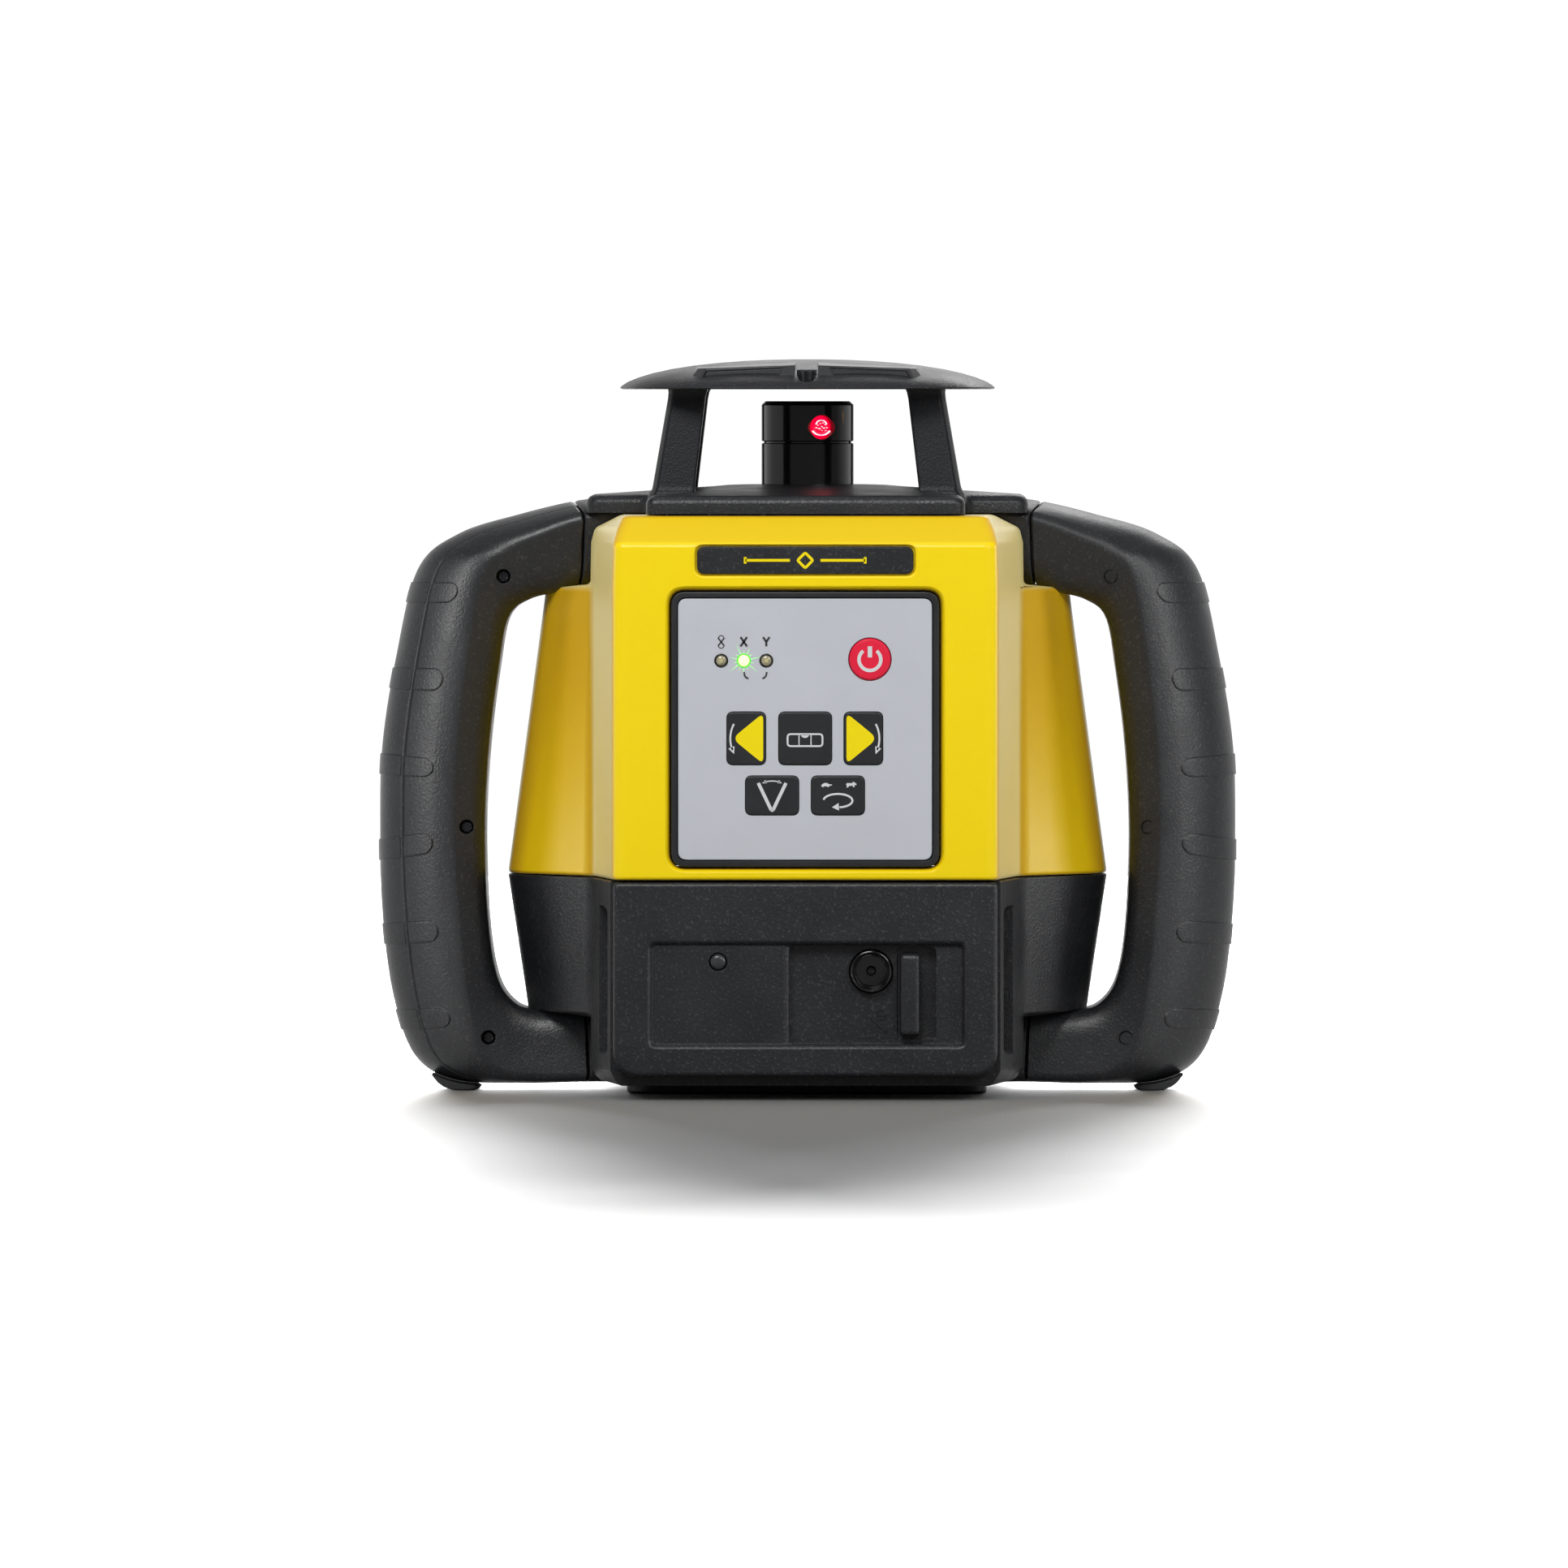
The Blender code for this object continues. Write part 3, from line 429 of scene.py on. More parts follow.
def body_ring(z, front, waist, hip, side, wall=0):
    """The housing's outline at a height, from four (half width, reach) corners."""
    corners = mirrored([(x, -y) for x, y in (front, waist, hip, side)])
    radii = [3.2, 5, 5, 6, 6, 5, 5, 3.2] * 2
    return at_height(rounded(inset(corners, wall), radii), z)


def body_rings(low_z, low, high_z, high, wall=0, steps=8):
    """Rings between two plans, close enough for their twisted facets to keep their shape."""
    rings = []
    for k in range(steps + 1):
        t = k / steps
        plan = [tuple(a + (b - a) * t for a, b in zip(*pair)) for pair in zip(low, high)]
        rings.append(body_ring(low_z + (high_z - low_z) * t, *plan, wall))
    return rings


def make_upper_housing():
    rings = [*body_rings(60.6, BULGE_SEAM, 140.2, BULGE_HIGH), body_ring(141.4, *SHOULDER),
        body_ring(153, *NECK), body_ring(157, *BEVEL), body_ring(160.8, *CROWN)]
    shell = soften(loft("housing_yellow", rings), 1.1, angle=22, segments=4)
    hollow = [*body_rings(58, BULGE_SEAM, 137.5, BULGE_HIGH, SHELL_WALL),
        body_ring(139.6, *SHOULDER, SHELL_WALL), body_ring(152, *NECK, SHELL_WALL),
        body_ring(155.2, *BEVEL, SHELL_WALL), body_ring(157.6, *CROWN, SHELL_WALL),
        body_ring(158.2, *HATCH, 0.1), body_ring(166, *HATCH, 0.1)]
    flare = ((-100, 6.4), (-95.4, 1.6), (-95, 1.25), (-94.6, 0.8), (-94.1, 0.45), (-93.3, 0.15),
        (-92.5, 0), (-85, 0))
    window = plate("window", (-37.2, 63.95), (37.2, 140.25), 4.2, flare)
    recess = plate("name_recess", (-30.1, 144.5), (30.1, 152.7), 2.4,
        ((-100, 5.9), (-95.3, 1.15), (-95, 0.85), (-94.75, 0.4), (-94.4, 0.1), (-93.8, 0)))
    notch = block("bracket_notch", (-90, -20.6, 141.1), (90, 20.6, 175))
    cut(shell, loft("housing_hollow", hollow), window, recess, notch)
    show(shell, yellow, ["upper_housing"])


def make_base_shell():
    rings = [body_ring(3.8, *SOLE, 1.2), body_ring(4.9, *SOLE), body_ring(8, *CORE),
        body_ring(21.2, *CORE), *body_rings(22.4, BULGE_LOW, 60.3, BULGE_SEAM, steps=4)]
    shell = soften(loft("housing_base", rings), 0.5, angle=30)
    hollow = [body_ring(9, *CORE, 3), body_ring(24, *CORE, 3),
        *body_rings(25.4, BULGE_LOW, 62.3, BULGE_SEAM, 3, steps=4)]
    cutters = [loft("base_hollow", hollow),
        block("pack_opening", (-70, -120, -5), (70, -88.7, 90)),
        lathe("insert_hole", drum(INSERT_RADIUS, -1, 12), 48)]
    for side in (1, -1):
        low, high = sorted((side * 54.6, side * 64))
        cutters.append(plate(f"cheek_{side}", (low, 12), (high, 53), 2, ((-86.5, 0), (-62, 0))))
    cut(shell, *cutters)
    show(shell, grained, ["base_shell"])


def make_base_plate():
    outline = rounded(box(-50, -45, 50, 45), 9)

    def ring(z, by):
        scale_x, scale_y = 1 - by / 50, 1 - by / 45
        return [(x * scale_x, y * scale_y, z) for x, y in outline]

    rings = [ring(0, 0.8), ring(0.25, 0.3), ring(0.8, 0), ring(3.6, 0), ring(4, 0.4),
        ring(5.7, 0.6)]
    base = loft("base_foot", rings)
    grooves = [block(f"groove_{x}", (x - 9, -50, 3.9), (x + 9, -42, 5)) for x in (-34, 0, 34)]
    cut(base, lathe("insert_gap", drum(INSERT_RADIUS, -1, 8), 64), *grooves)
    show(base, smooth_black, ["base_plate"])


def deck_plan(by):
    """The deck's outline, drawn in by a distance."""
    front, side = 44 - by, 61.5 - by
    quarter = [(front, by - 84), (front, by - 26), (side, by - 22), (side, -6)]
    return rounded(mirrored(quarter), 3)


def make_deck():
    rim = deck_plan(0)
    angles = [atan2(y, x) for x, y in rim]

    def circle(radius, z):
        return [(radius * cos(a), radius * sin(a), z) for a in angles]

    rings = [at_height(rim, 161.2), at_height(rim, 164), at_height(deck_plan(0.3), 164.95),
        at_height(deck_plan(0.9), 165.7), at_height(deck_plan(2), 166.3), circle(26, 168.6),
        circle(22, 168.95), circle(17.2, 169.1), circle(16.3, 168.8), circle(16.3, 164),
        circle(24, 163.4), at_height(deck_plan(3), 162.6), at_height(deck_plan(3), 161.2)]
    deck = loft("deck", rings, wrap=True)
    sites = [(side, y, Matrix.Translation((side * DECK_SCREW_X, y, 0))) for side in (1, -1)
        for y in (-DECK_SCREW_Y, DECK_SCREW_Y)]
    cut(deck, *[lathe("sink", ((0, 164.9), (2.3, 164.9), (2.5, 167), (3.4, 171), (0, 171)), 32,
        turn=at) for _, _, at in sites])
    show(deck, grained, ["top_cover"])
    for side, y, at in sites:
        head = lathe(f"deck_screw_{side}_{y > 0}", ((0, 165.6), (0.9, 165.6), (1, 165.9),
            (1.9, 165.9), (2.1, 165.6), (2.1, 164.6), (0, 164.6)), 32, turn=at)
        show(head, dark_steel)
    for x_side in (1, -1):
        for y_side in (1, -1):
            make_post(x_side, y_side)


def make_post(x_side, y_side):
    foot = [(31.5, 29.5), (43.4, 29.5), (43.4, 38), (42, 41), (31.5, 41)]
    head = [(27.9, 26), (38.2, 26), (38.2, 33.4), (36.9, 36.2), (27.9, 36.2)]
    rings = []
    for z, grow in ((164, 0.9), (166.8, 0.6), (167.3, 0.25), (168, 0.05), (169, 0), (180, 0),
            (193, 0), (194.7, 0.15), (196.2, 0.6)):
        t = (z - 165) / (195.3 - 165)
        outline = [Vector(a).lerp(Vector(b), t) for a, b in zip(foot, head)]
        outline = rounded(inset(outline, -grow), 0.9, 4)
        rings.append([(x * x_side, y * y_side, z) for x, y in outline])
    label = f"cage_post_{'r' if x_side > 0 else 'l'}{'b' if y_side > 0 else 'f'}"
    show(loft(label, rings), cage_black)


def make_cage_cap():
    profile = ((48.5, 195.75), (51.4, 195.6), (52.2, 195.8), (52.3, 196.15), (51.6, 196.75),
        (50, 197.75), (47, 198.95), (43, 200.15), (38, 201.25), (32, 202.2), (25, 202.98),
        (18, 203.5), (11, 203.83), (4, 203.98))
    rings = []
    for half, z in profile:
        ring = []
        for k in range(128):
            angle = 2 * pi * k / 128
            power = 2 / 3.2
            x = copysign(abs(cos(angle)) ** power, cos(angle)) * half
            y = copysign(abs(sin(angle)) ** power, sin(angle)) * half
            ring.append((x, y, z))
        rings.append(ring)
    cap = loft("cage_cap_dome", rings)
    notches = []
    for side in (1, -1):
        u_shape = [(-3, 207), (-2.7, 199.6), (-2.1, 198.2), (-1, 197.6), (1, 197.6), (2.1, 198.2),
            (2.7, 199.6), (3, 207)]
        notches.append(prism("cap_notch", u_shape, side * 39, side * 60))
    cut(cap, *notches)
    show(cap, grained, ["cage_cap"])
    for side in (1, -1):
        for flank in (1, -1):
            wedge = cap_wedge(f"cap_tier_{side}_{flank}", side, flank)
            # the tiers are coloured lighter than the dome: painted light
            show(wedge, tier_painted_light)
        for number, x in enumerate((-1, 1)):
            boss = lathe(f"cap_boss_{side}_{number}", ((0, 200.9), (0.55, 200.9), (0.8, 200.6),
                (0.85, 197), (0, 197)), 24, turn=Matrix.Translation((x, side * 44.5, 0)))
            show(boss, smooth_black)


def cap_wedge(name, side, flank):
    """A raised tier beside the notch, with a sunk pocket in its sloping front."""
    low = [(3.4, 47.6), (8.4, 48.4), (30.6, 46.2), (33.6, 41.5), (34.5, 20), (3.2, 20)]
    high = [(3.2, 43.4), (5.6, 42.2), (28.3, 41.2), (30.2, 39.5), (31, 22), (3, 22)]
    shape = bmesh.new()
    rows = []
    for outline, z in ((low, 196.9), (high, None)):
        rows.append([])
        for x, y in outline:
            top = 201.35 + 0.035 * (31 - x) if y > 30 else 201.9 + 0.048 * (31 - x)
            rows[-1].append(shape.verts.new((x * flank, y * side, z or top)))
    faces = []
    for i in range(6):
        j = (i + 1) % 6
        faces.append(shape.faces.new((rows[0][i], rows[0][j], rows[1][j], rows[1][i])))
    shape.faces.new(rows[1])
    shape.faces.new(reversed(rows[0]))
    bmesh.ops.recalc_face_normals(shape, faces=shape.faces)
    bmesh.ops.inset_individual(shape, faces=[faces[1]], thickness=0.85, depth=0)
    bmesh.ops.inset_individual(shape, faces=[faces[1]], thickness=0.25, depth=-0.75)
    return soften(place(name, shape), 0.22, angle=25, segments=2)


make_upper_housing()
make_base_shell()
make_base_plate()
make_deck()
make_cage_cap()


# ---------------------------------------------------------------- handles

CROWN_RAIL = ((44, 166), (62.6, 164.8), (81, 160.6), (97.5, 155.3), (108.9, 145.5), (115, 121),
    (118.9, 96), (119.5, 72), (118.9, 50), (116, 27), (110, 9.8), (99, 2.8), (81, 1.8),
    (62.4, 2.2), (54, 2.2))
CREASE_RAIL = ((44, 164), (62.4, 160.6), (74.3, 156.4), (84, 152), (91, 145.2), (95.6, 121),
    (98.6, 94), (99.2, 75), (98, 52), (95.6, 28), (92.2, 12), (86, 4.6), (76, 3), (62.4, 3),
    (54, 3))
INNER_RAIL = ((44, 141), (61, 141), (69, 139.2), (77.5, 137), (83.2, 132), (85.9, 118), (88.6, 96),
    (89.8, 72), (88.8, 47), (86.2, 31.5), (81.4, 24.4), (75, 22.4), (69, 22.4), (62.4, 22.4),
    (54, 22.4))
GRIP_HALF = 20.0
GRIP_ARC = radians(58)
SEAM_LOW, SEAM_HIGH = 12.3, 12.7
UPPER_DISC, LOWER_DISC = (5.2, 60), (4, 60)  # a root's round end: centre x, radius
SEAM_GAP = 0.4
SCREW_SITES = ((84.6, 143.5), (94.9, 73.7), (88.8, 15))  # reach from the axis, height
SCREW_DEPTH = 15.8
PAD_HEIGHTS = (139, 115, 91, 67, 43.5, 19.5)
PAD_LIFT, PAD_RIM, PAD_ROOT = 0.36, 0.26, -0.25  # above the grip: face, rim and buried edge
PAD_EDGE = 49.5  # degrees round the arc where a pad ends


def crown_share(y):
    """How far from the crease to the crown the grip's outer arc has come at a depth."""
    angle = asin(y * sin(GRIP_ARC) / GRIP_HALF)
    return (cos(angle) - cos(GRIP_ARC)) / (1 - cos(GRIP_ARC))


def arc_y(degrees):
    """The depth at an angle round the grip's outer arc."""
    return GRIP_HALF * sin(radians(degrees)) / sin(GRIP_ARC)


def bend(a, b, c, steps):
    """Points of a parabolic arc from a to c that aims at b."""
    a, b, c = Vector(a), Vector(b), Vector(c)
    return [tuple(a.lerp(b, k / steps).lerp(b.lerp(c, k / steps), k / steps))
        for k in range(steps + 1)]


def half_section(start):
    """(y, share to crease, share to crown) from the inner side up to the arc."""
    rows = [(start, 0, 0)]
    rows += bend((13.2, 0, 0), (17.7, 0.02, 0), (18.5, 0.40, 0), 7)
    rows += [(19.1, 0.64, 0)]
    crease_end = arc_y(50)
    rows += bend((19.72, 0.88, 0), (20, 1, 0), (crease_end, 1, crown_share(crease_end)), 6)
    return rows


def arc_rows(first, last, steps=12):
    spots = [arc_y(first + (last - first) * k / steps) for k in range(steps + 1)]
    return [(y, 1, crown_share(y)) for y in spots]


def seam_degrees(y):
    return degrees(asin(y * sin(GRIP_ARC) / GRIP_HALF))


def grip_point(s, y, to_crease, to_crown):
    crown, crease, inner = (spline(rail, s) for rail in (CROWN_RAIL, CREASE_RAIL, INNER_RAIL))
    spot = inner + (crease - inner) * to_crease + (crown - crease) * to_crown
    return Vector((spot.x, y, spot.y))


def halve(low, high, below):
    """The place between two others where below() stops being true."""
    for _ in range(40):
        middle = (low + high) / 2
        if below(middle):
            low = middle
        else:
            high = middle
    return (low + high) / 2


def reach_disc(row, disc, grow, inner, outer):
    """The station between two others where a row's line meets a root's round end."""
    centre, radius = disc
    goal = centre + sqrt((radius + grow) ** 2 - row[0] ** 2)
    return halve(inner, outer, lambda station: grip_point(station, *row).x < goal)


def sweep(name, rows, side, starts, ends, count):
    """A closed skin along the handle's rails between two stations for each row."""
    rings = []
    for k in range(count + 1):
        u = k / count
        rings.append([grip_point(a + (b - a) * u, *row) for row, a, b in zip(rows, starts, ends)])
    for edge, near in ((0, 1), (-1, -2)):
        centre = sum(rings[edge], Vector()) / len(rows)
        lip = [point.lerp(rings[near][i], 0.35) for i, point in enumerate(rings[edge])]
        small = [point + (centre - point).normalized() * 0.45 for point in rings[edge]]
        if edge == 0:
            rings = [small, lip] + rings[1:]
        else:
            rings = rings[:-1] + [lip, small]
    return loft(name, [[(p.x * side, p.y * side, p.z) for p in ring] for ring in rings])


def pad(side, height, first, last, round_first, round_last):
    """A raised grip pad that wraps round the arc; its free ends are round."""
    station = halve(3, 11, lambda at: spline(CROWN_RAIL, at).y > height)
    pace = (spline(CROWN_RAIL, station + 0.01) - spline(CROWN_RAIL, station - 0.01)).length / 0.02
    tall, blunt = 2.95, 5.5  # half height in mm, depth of the round ends in degrees
    across = [-1, -0.985, -0.93, -0.8, -0.55, -0.28, 0, 0.28, 0.55, 0.8, 0.93, 0.985, 1]
    along = [0, 0.006, 0.022] + [0.022 + 0.956 * k / 22 for k in range(1, 22)] + [0.978, 0.994, 1]
    shape = bmesh.new()
    grid = []
    for v in across:
        pull = blunt * (1 - sqrt(max(0, 1 - v * v)))
        a = first + (pull if round_first else 0)
        b = last - (pull if round_last else 0)
        line = []
        for u in along:
            angle = a + (b - a) * u
            s = station + v * tall / pace

            def surface(degrees, at):
                y = arc_y(degrees)
                return grip_point(at, y, 1, crown_share(y))

            point = surface(angle, s)
            normal = (surface(angle + 0.5, s) - point).cross(surface(angle, s + 0.02) - point)
            if normal.x < 0:
                normal.negate()
            rim_u, rim_v = min(u, 1 - u), 1 - abs(v)
            lift = PAD_LIFT
            if rim_u < 0.001 or rim_v < 0.001:
                lift = PAD_ROOT
            elif rim_u < 0.01 or rim_v < 0.02:
                lift = PAD_RIM
            point = point + normal.normalized() * lift
            line.append(shape.verts.new((point.x * side, point.y * side, point.z)))
        grid.append(line)
    for a, b in zip(grid, grid[1:]):
        for i in range(len(a) - 1):
            shape.faces.new((a[i], a[i + 1], b[i + 1], b[i]))
    rim = grid[0] + [line[-1] for line in grid[1:]] + grid[-1][-2::-1] \
        + [line[0] for line in grid[-2:0:-1]]
    shape.faces.new(rim)
    return place("pad", shape)


def round_root(name, side, disc, inner, outer):
    """The stub that a handle butts against, with its round end."""
    half = half_section(0)[1:] + arc_rows(48, 0)
    rows = [(-y, a, b) for y, a, b in half] + [row for row in reversed(half[:-1])]
    ends = [reach_disc(row, disc, 0, inner, outer) for row in rows]
    root = sweep(name, rows, side, [inner] * len(rows), ends, 10)
    show(root, grained)


def star_screw(name, x, z, side):
    """A round head with a six-lobed recess, facing along side * Y."""
    turn = facing(x, z, SCREW_DEPTH, side)
    head = lathe(name, ((0, 1.7), (1.3, 1.7), (1.62, 1.5), (1.75, 1.15), (1.75, -3), (0, -3)), 36,
        turn=turn)
    star = []
    for k in range(24):
        angle = 2 * pi * k / 24
        radius = 1.10 + 0.30 * cos(6 * angle)
        star.append((radius * cos(angle), radius * sin(angle)))
    recess = loft("star", [at_height(star, z_at) for z_at in (0.5, 2.4)])
    recess.data.transform(Matrix.Scale(1 / MM, 4))
    recess.data.transform(turn)
    recess.data.transform(Matrix.Scale(MM, 4))
    return cut(head, recess)


def make_handle(label, side):
    low_seam, high_seam = seam_degrees(SEAM_LOW), seam_degrees(SEAM_HIGH)
    sink = 0.014  # how far the seam's edges dip, as a share of the crown
    lower_half = half_section(0)[1:] + arc_rows(48, 4, 11)
    main = [(SEAM_LOW, 0.02, 0), (SEAM_LOW - 0.3, 0, 0), (0, 0, 0)]
    main += [(-y, a, b) for y, a, b in lower_half]
    main += arc_rows(0, seam_degrees(SEAM_LOW - 0.3), 8)
    main += [(SEAM_LOW, 1, crown_share(SEAM_LOW) - sink)]
    cover = [(SEAM_HIGH, 0.02, 0)] + half_section(SEAM_HIGH + 0.3)[1:]
    cover += arc_rows(48, seam_degrees(SEAM_HIGH + 0.3), 7)
    cover += [(SEAM_HIGH, 1, crown_share(SEAM_HIGH) - sink)]
    shells = []
    for name, rows in (("main", main), ("cover", cover)):
        starts = [reach_disc(row, UPPER_DISC, SEAM_GAP, 0, 4) for row in rows]
        ends = [reach_disc(row, LOWER_DISC, SEAM_GAP, 14, 10) for row in rows]
        shells.append(sweep(f"grip_{label}_{name}", rows, side, starts, ends, 110))
    holes = []
    for reach, z in SCREW_SITES:
        holes.append(lathe("screw_hole", ((0, 0), (2, 0), (2.05, 6), (0, 6)), 36,
            turn=facing(reach * side, z, SCREW_DEPTH + 0.1, side)))
    cut(shells[1], *holes)
    for height in PAD_HEIGHTS:
        shells.append(pad(side, height, -PAD_EDGE, low_seam - 0.6, True, False))
    shells = [merge(f"grip_{label}_main", [shells[0]] + shells[2:]), shells[1]]
    covers = [pad(side, height, high_seam + 0.6, PAD_EDGE, False, True) for height in PAD_HEIGHTS]
    shells[1] = merge(f"grip_{label}_cover", [shells[1]] + covers)
    front = "front" if side > 0 else "rear"
    rear = "rear" if side > 0 else "front"
    show(shells[0], smooth_black, [f"handle_{label}_{front}_shell"])
    show(shells[1], smooth_black, [f"handle_{label}_{rear}_shell"])
    for number, (reach, z) in enumerate(SCREW_SITES, start=1):
        screw = star_screw(f"grip_{label}_screw_{number}", reach * side, z, side)
        show(screw, dark_steel, [f"handle_{label}_screw_{number}"])
        # the ring round each round mark is near black: painted shade of its groove
        mark = lathe(f"grip_{label}_mark_{number}", ((1.62, 0.15), (1.70, 0.28), (1.86, 0.30),
            (1.95, 0.15), (1.9, -2), (1.65, -2)), 48, ring=True,
            turn=facing(reach * side, z, flank_depth(reach, z), -side))
        show(mark, painted_groove_shade)
    make_foot(label, side)


def flank_depth(reach, z):
    """How far from the middle the grip's flat flank lies at a place on it."""
    best = None
    for k in range(141):
        s = k / 10
        crease, inner = spline(CREASE_RAIL, s), spline(INNER_RAIL, s)
        for share in range(41):
            t = share / 40
            spot = inner + (crease - inner) * t
            gap = (spot - Vector((reach, z))).length
            if best is None or gap < best[0]:
                best = (gap, t)
    share = best[1]
    return 18.5 + 1.5 * (share - 0.4) / 0.6 if share > 0.4 else 18.3


def make_foot(label, side):
    """A rubber shoe under the lower corner that curls up the grip."""
    top = [grip_point(s / 10, 0, 1, 1) for s in range(98, 118)]
    crown = [(p.x, p.z - 0.4) for p in top if 91.5 < p.x < 104.5]
    under = [(91.2, 0.9), (92.2, 0.25), (94.5, 0), (97, 0), (99.5, 0.2), (101.6, 1), (103.2, 2.2),
        (104.9, 4.3)]
    outline = [(x * side, z) for x, z in under + crown]
    rings = []
    centre = Vector((100.5 * side, 2))
    for y, share in ((-12, 0.90), (-11.7, 0.96), (-11, 1), (11, 1), (11.7, 0.96), (12, 0.90)):
        scaled = [centre + (Vector(point) - centre) * share for point in outline]
        rings.append([(point.x, y, max(0, point.y)) for point in scaled])
    show(loft(f"foot_{label}", rings), rubber, [f"handle_{label}_foot"])


def make_tenon(name, side, low, high):
    """The tongue of a root that reaches into the grip and closes the seam."""
    left, right = sorted((56.0 * side, 69.0 * side))
    tenon = soften(block(name, (left, -15.5, low), (right, 15.5, high)), 2)
    show(tenon, matt_black)


for label, side in (("left", -1), ("right", 1)):
    make_tenon(f"tenon_{label}_upper", side, 143.5, 159.5)
    make_tenon(f"tenon_{label}_lower", side, 5, 20)
    round_root(f"bracket_{label}", side, UPPER_DISC, 0, 4)
    round_root(f"boss_{label}", side, LOWER_DISC, 14, 10)
    make_handle(label, side)


# ---------------------------------------------------------------- keypad

INK_FRONT, INK_BACK = -94.98, -94.85
KEYS = (  # name, centre x, centre z, width, height
    ("left", -16.2, 99.6, 10.7, 14.6),
    ("level", 0, 99.6, 14.6, 14.6),
    ("right", 16, 99.6, 10.7, 14.6),
    ("scan", -9.1, 83.9, 14.7, 10.8),
    ("speed", 9, 83.9, 14.7, 10.8),
)
POWER_X, POWER_Z, POWER_RADIUS = 17.8, 121.4, 5.85
LED_Z = 121.0
LEDS = (  # name, centre x, finish, slot
    ("power_led", -23.1, lamp_clear, "led_power"),
    ("x_axis_led", -16.9, lamp_green, "led_axis_x"),
    ("y_axis_led", -10.7, lamp_clear, "led_axis_y"),
)


def stroke(points, width, closed=False, front=INK_FRONT, back=INK_BACK):
    """A flat ribbon along (x, z) points."""
    points = [Vector(point) for point in points]
    count = len(points)
    shape = bmesh.new()
    rows = []
    for i, point in enumerate(points):
        before = points[i - 1] if i or closed else point
        after = points[(i + 1) % count] if i < count - 1 or closed else point
        along = (after - before).normalized()
        across = Vector((-along.y, along.x)) * width / 2
        left, right = point + across, point - across
        corners = ((left, front), (right, front), (right, back), (left, back))
        rows.append([shape.verts.new((spot.x, y, spot.y)) for spot, y in corners])
    for a, b in zip(rows, rows[1:] + rows[:1] if closed else rows[1:]):
        for i in range(4):
            j = (i + 1) % 4
            shape.faces.new((a[i], a[j], b[j], b[i]))
    if not closed:
        shape.faces.new(rows[0])
        shape.faces.new(reversed(rows[-1]))
    return place("stroke", shape)


def patch(points, front=INK_FRONT, back=INK_BACK):
    return prism("patch", points, front, back)


def arc(x, z, wide, tall, first, last, steps=24):
    turns = [radians(first + (last - first) * k / steps) for k in range(steps + 1)]
    return [(x + wide * cos(a), z + tall * sin(a)) for a in turns]


def arrow_head(tip, heading, length, width):
    """A triangle whose tip points along a heading in degrees."""
    along = Vector((cos(radians(heading)), sin(radians(heading))))
    across = Vector((-along.y, along.x))
    tip = Vector(tip)
    base = tip - along * length
    return patch([tuple(tip), tuple(base + across * width / 2), tuple(base - across * width / 2)])


def icon(name, strokes, paint, body="housing"):
    """One printed mark of several strokes and patches."""
    show(merge(name, strokes), paint, body=body)


def holes(grow, y_front, y_back):
    """Cutters for the keys and lamps, grown by a clearance."""
    made = []
    for name, x, z, width, height in KEYS:
        w, h = width / 2 + grow, height / 2 + grow
        made.append(plate(name + "_hole", (x - w, z - h), (x + w, z + h), 2,
            ((y_front, 0), (y_back, 0))))
    for x, z, radius in [(POWER_X, POWER_Z, POWER_RADIUS + grow)] \
            + [(led[1], LED_Z, 1.75 + grow) for led in LEDS]:
        made.append(lathe("round_hole", drum(radius, -y_back, -y_front), 64, turn=facing(x, z)))
    return made


def make_panel():
    bezel = plate("panel_frame", (-36.9, 64.25), (36.9, 139.95), 4,
        ((-91.2, 0), (-94.45, 0), (-94.75, -0.12), (-94.9, -0.4)))
    tray = plate("tray", (-35.2, 65.95), (35.1, 138.3), 2.7, ((-99, 0.25), (-94.7, 0.1),
        (-94.4, 0), (-93, 0)))
    cut(bezel, tray, *holes(0.3, -99, -89))
    show(bezel, bezel_black, ["panel_bezel"])
    overlay = plate("panel_film", (-34.98, 66.17), (34.88, 138.08), 2.5,
        ((-93.25, 0), (-94.55, 0), (-94.7, -0.15)))
    cut(overlay, *holes(0.14, -99, -89))
    show(overlay, overlay_grey, ["panel_overlay"])
    name_bar = plate("name_bar", (-29.8, 144.8), (29.8, 152.4), 2.2,
        ((-94, 0), (-94.5, 0), (-94.8, -0.2), (-94.9, -0.5)))
    show(name_bar, grained, ["nameplate"])
    z, line = 148.6, 0.75  # the mark's height and the width of its lines
    diamond = rounded([(0, z - 2.1), (2.1, z), (0, z + 2.1), (-2.1, z)], 0.3, 2)
    beam = [stroke([(-16.5, z), (-4.2, z)], line), stroke([(4.2, z), (16.5, z)], line),
        stroke(diamond, line, closed=True)]
    beam += [stroke([(x, z - 0.9), (x, z + 0.9)], line) for x in (-16.5, 16.5)]
    icon("name_bar_mark", beam, ink_yellow)


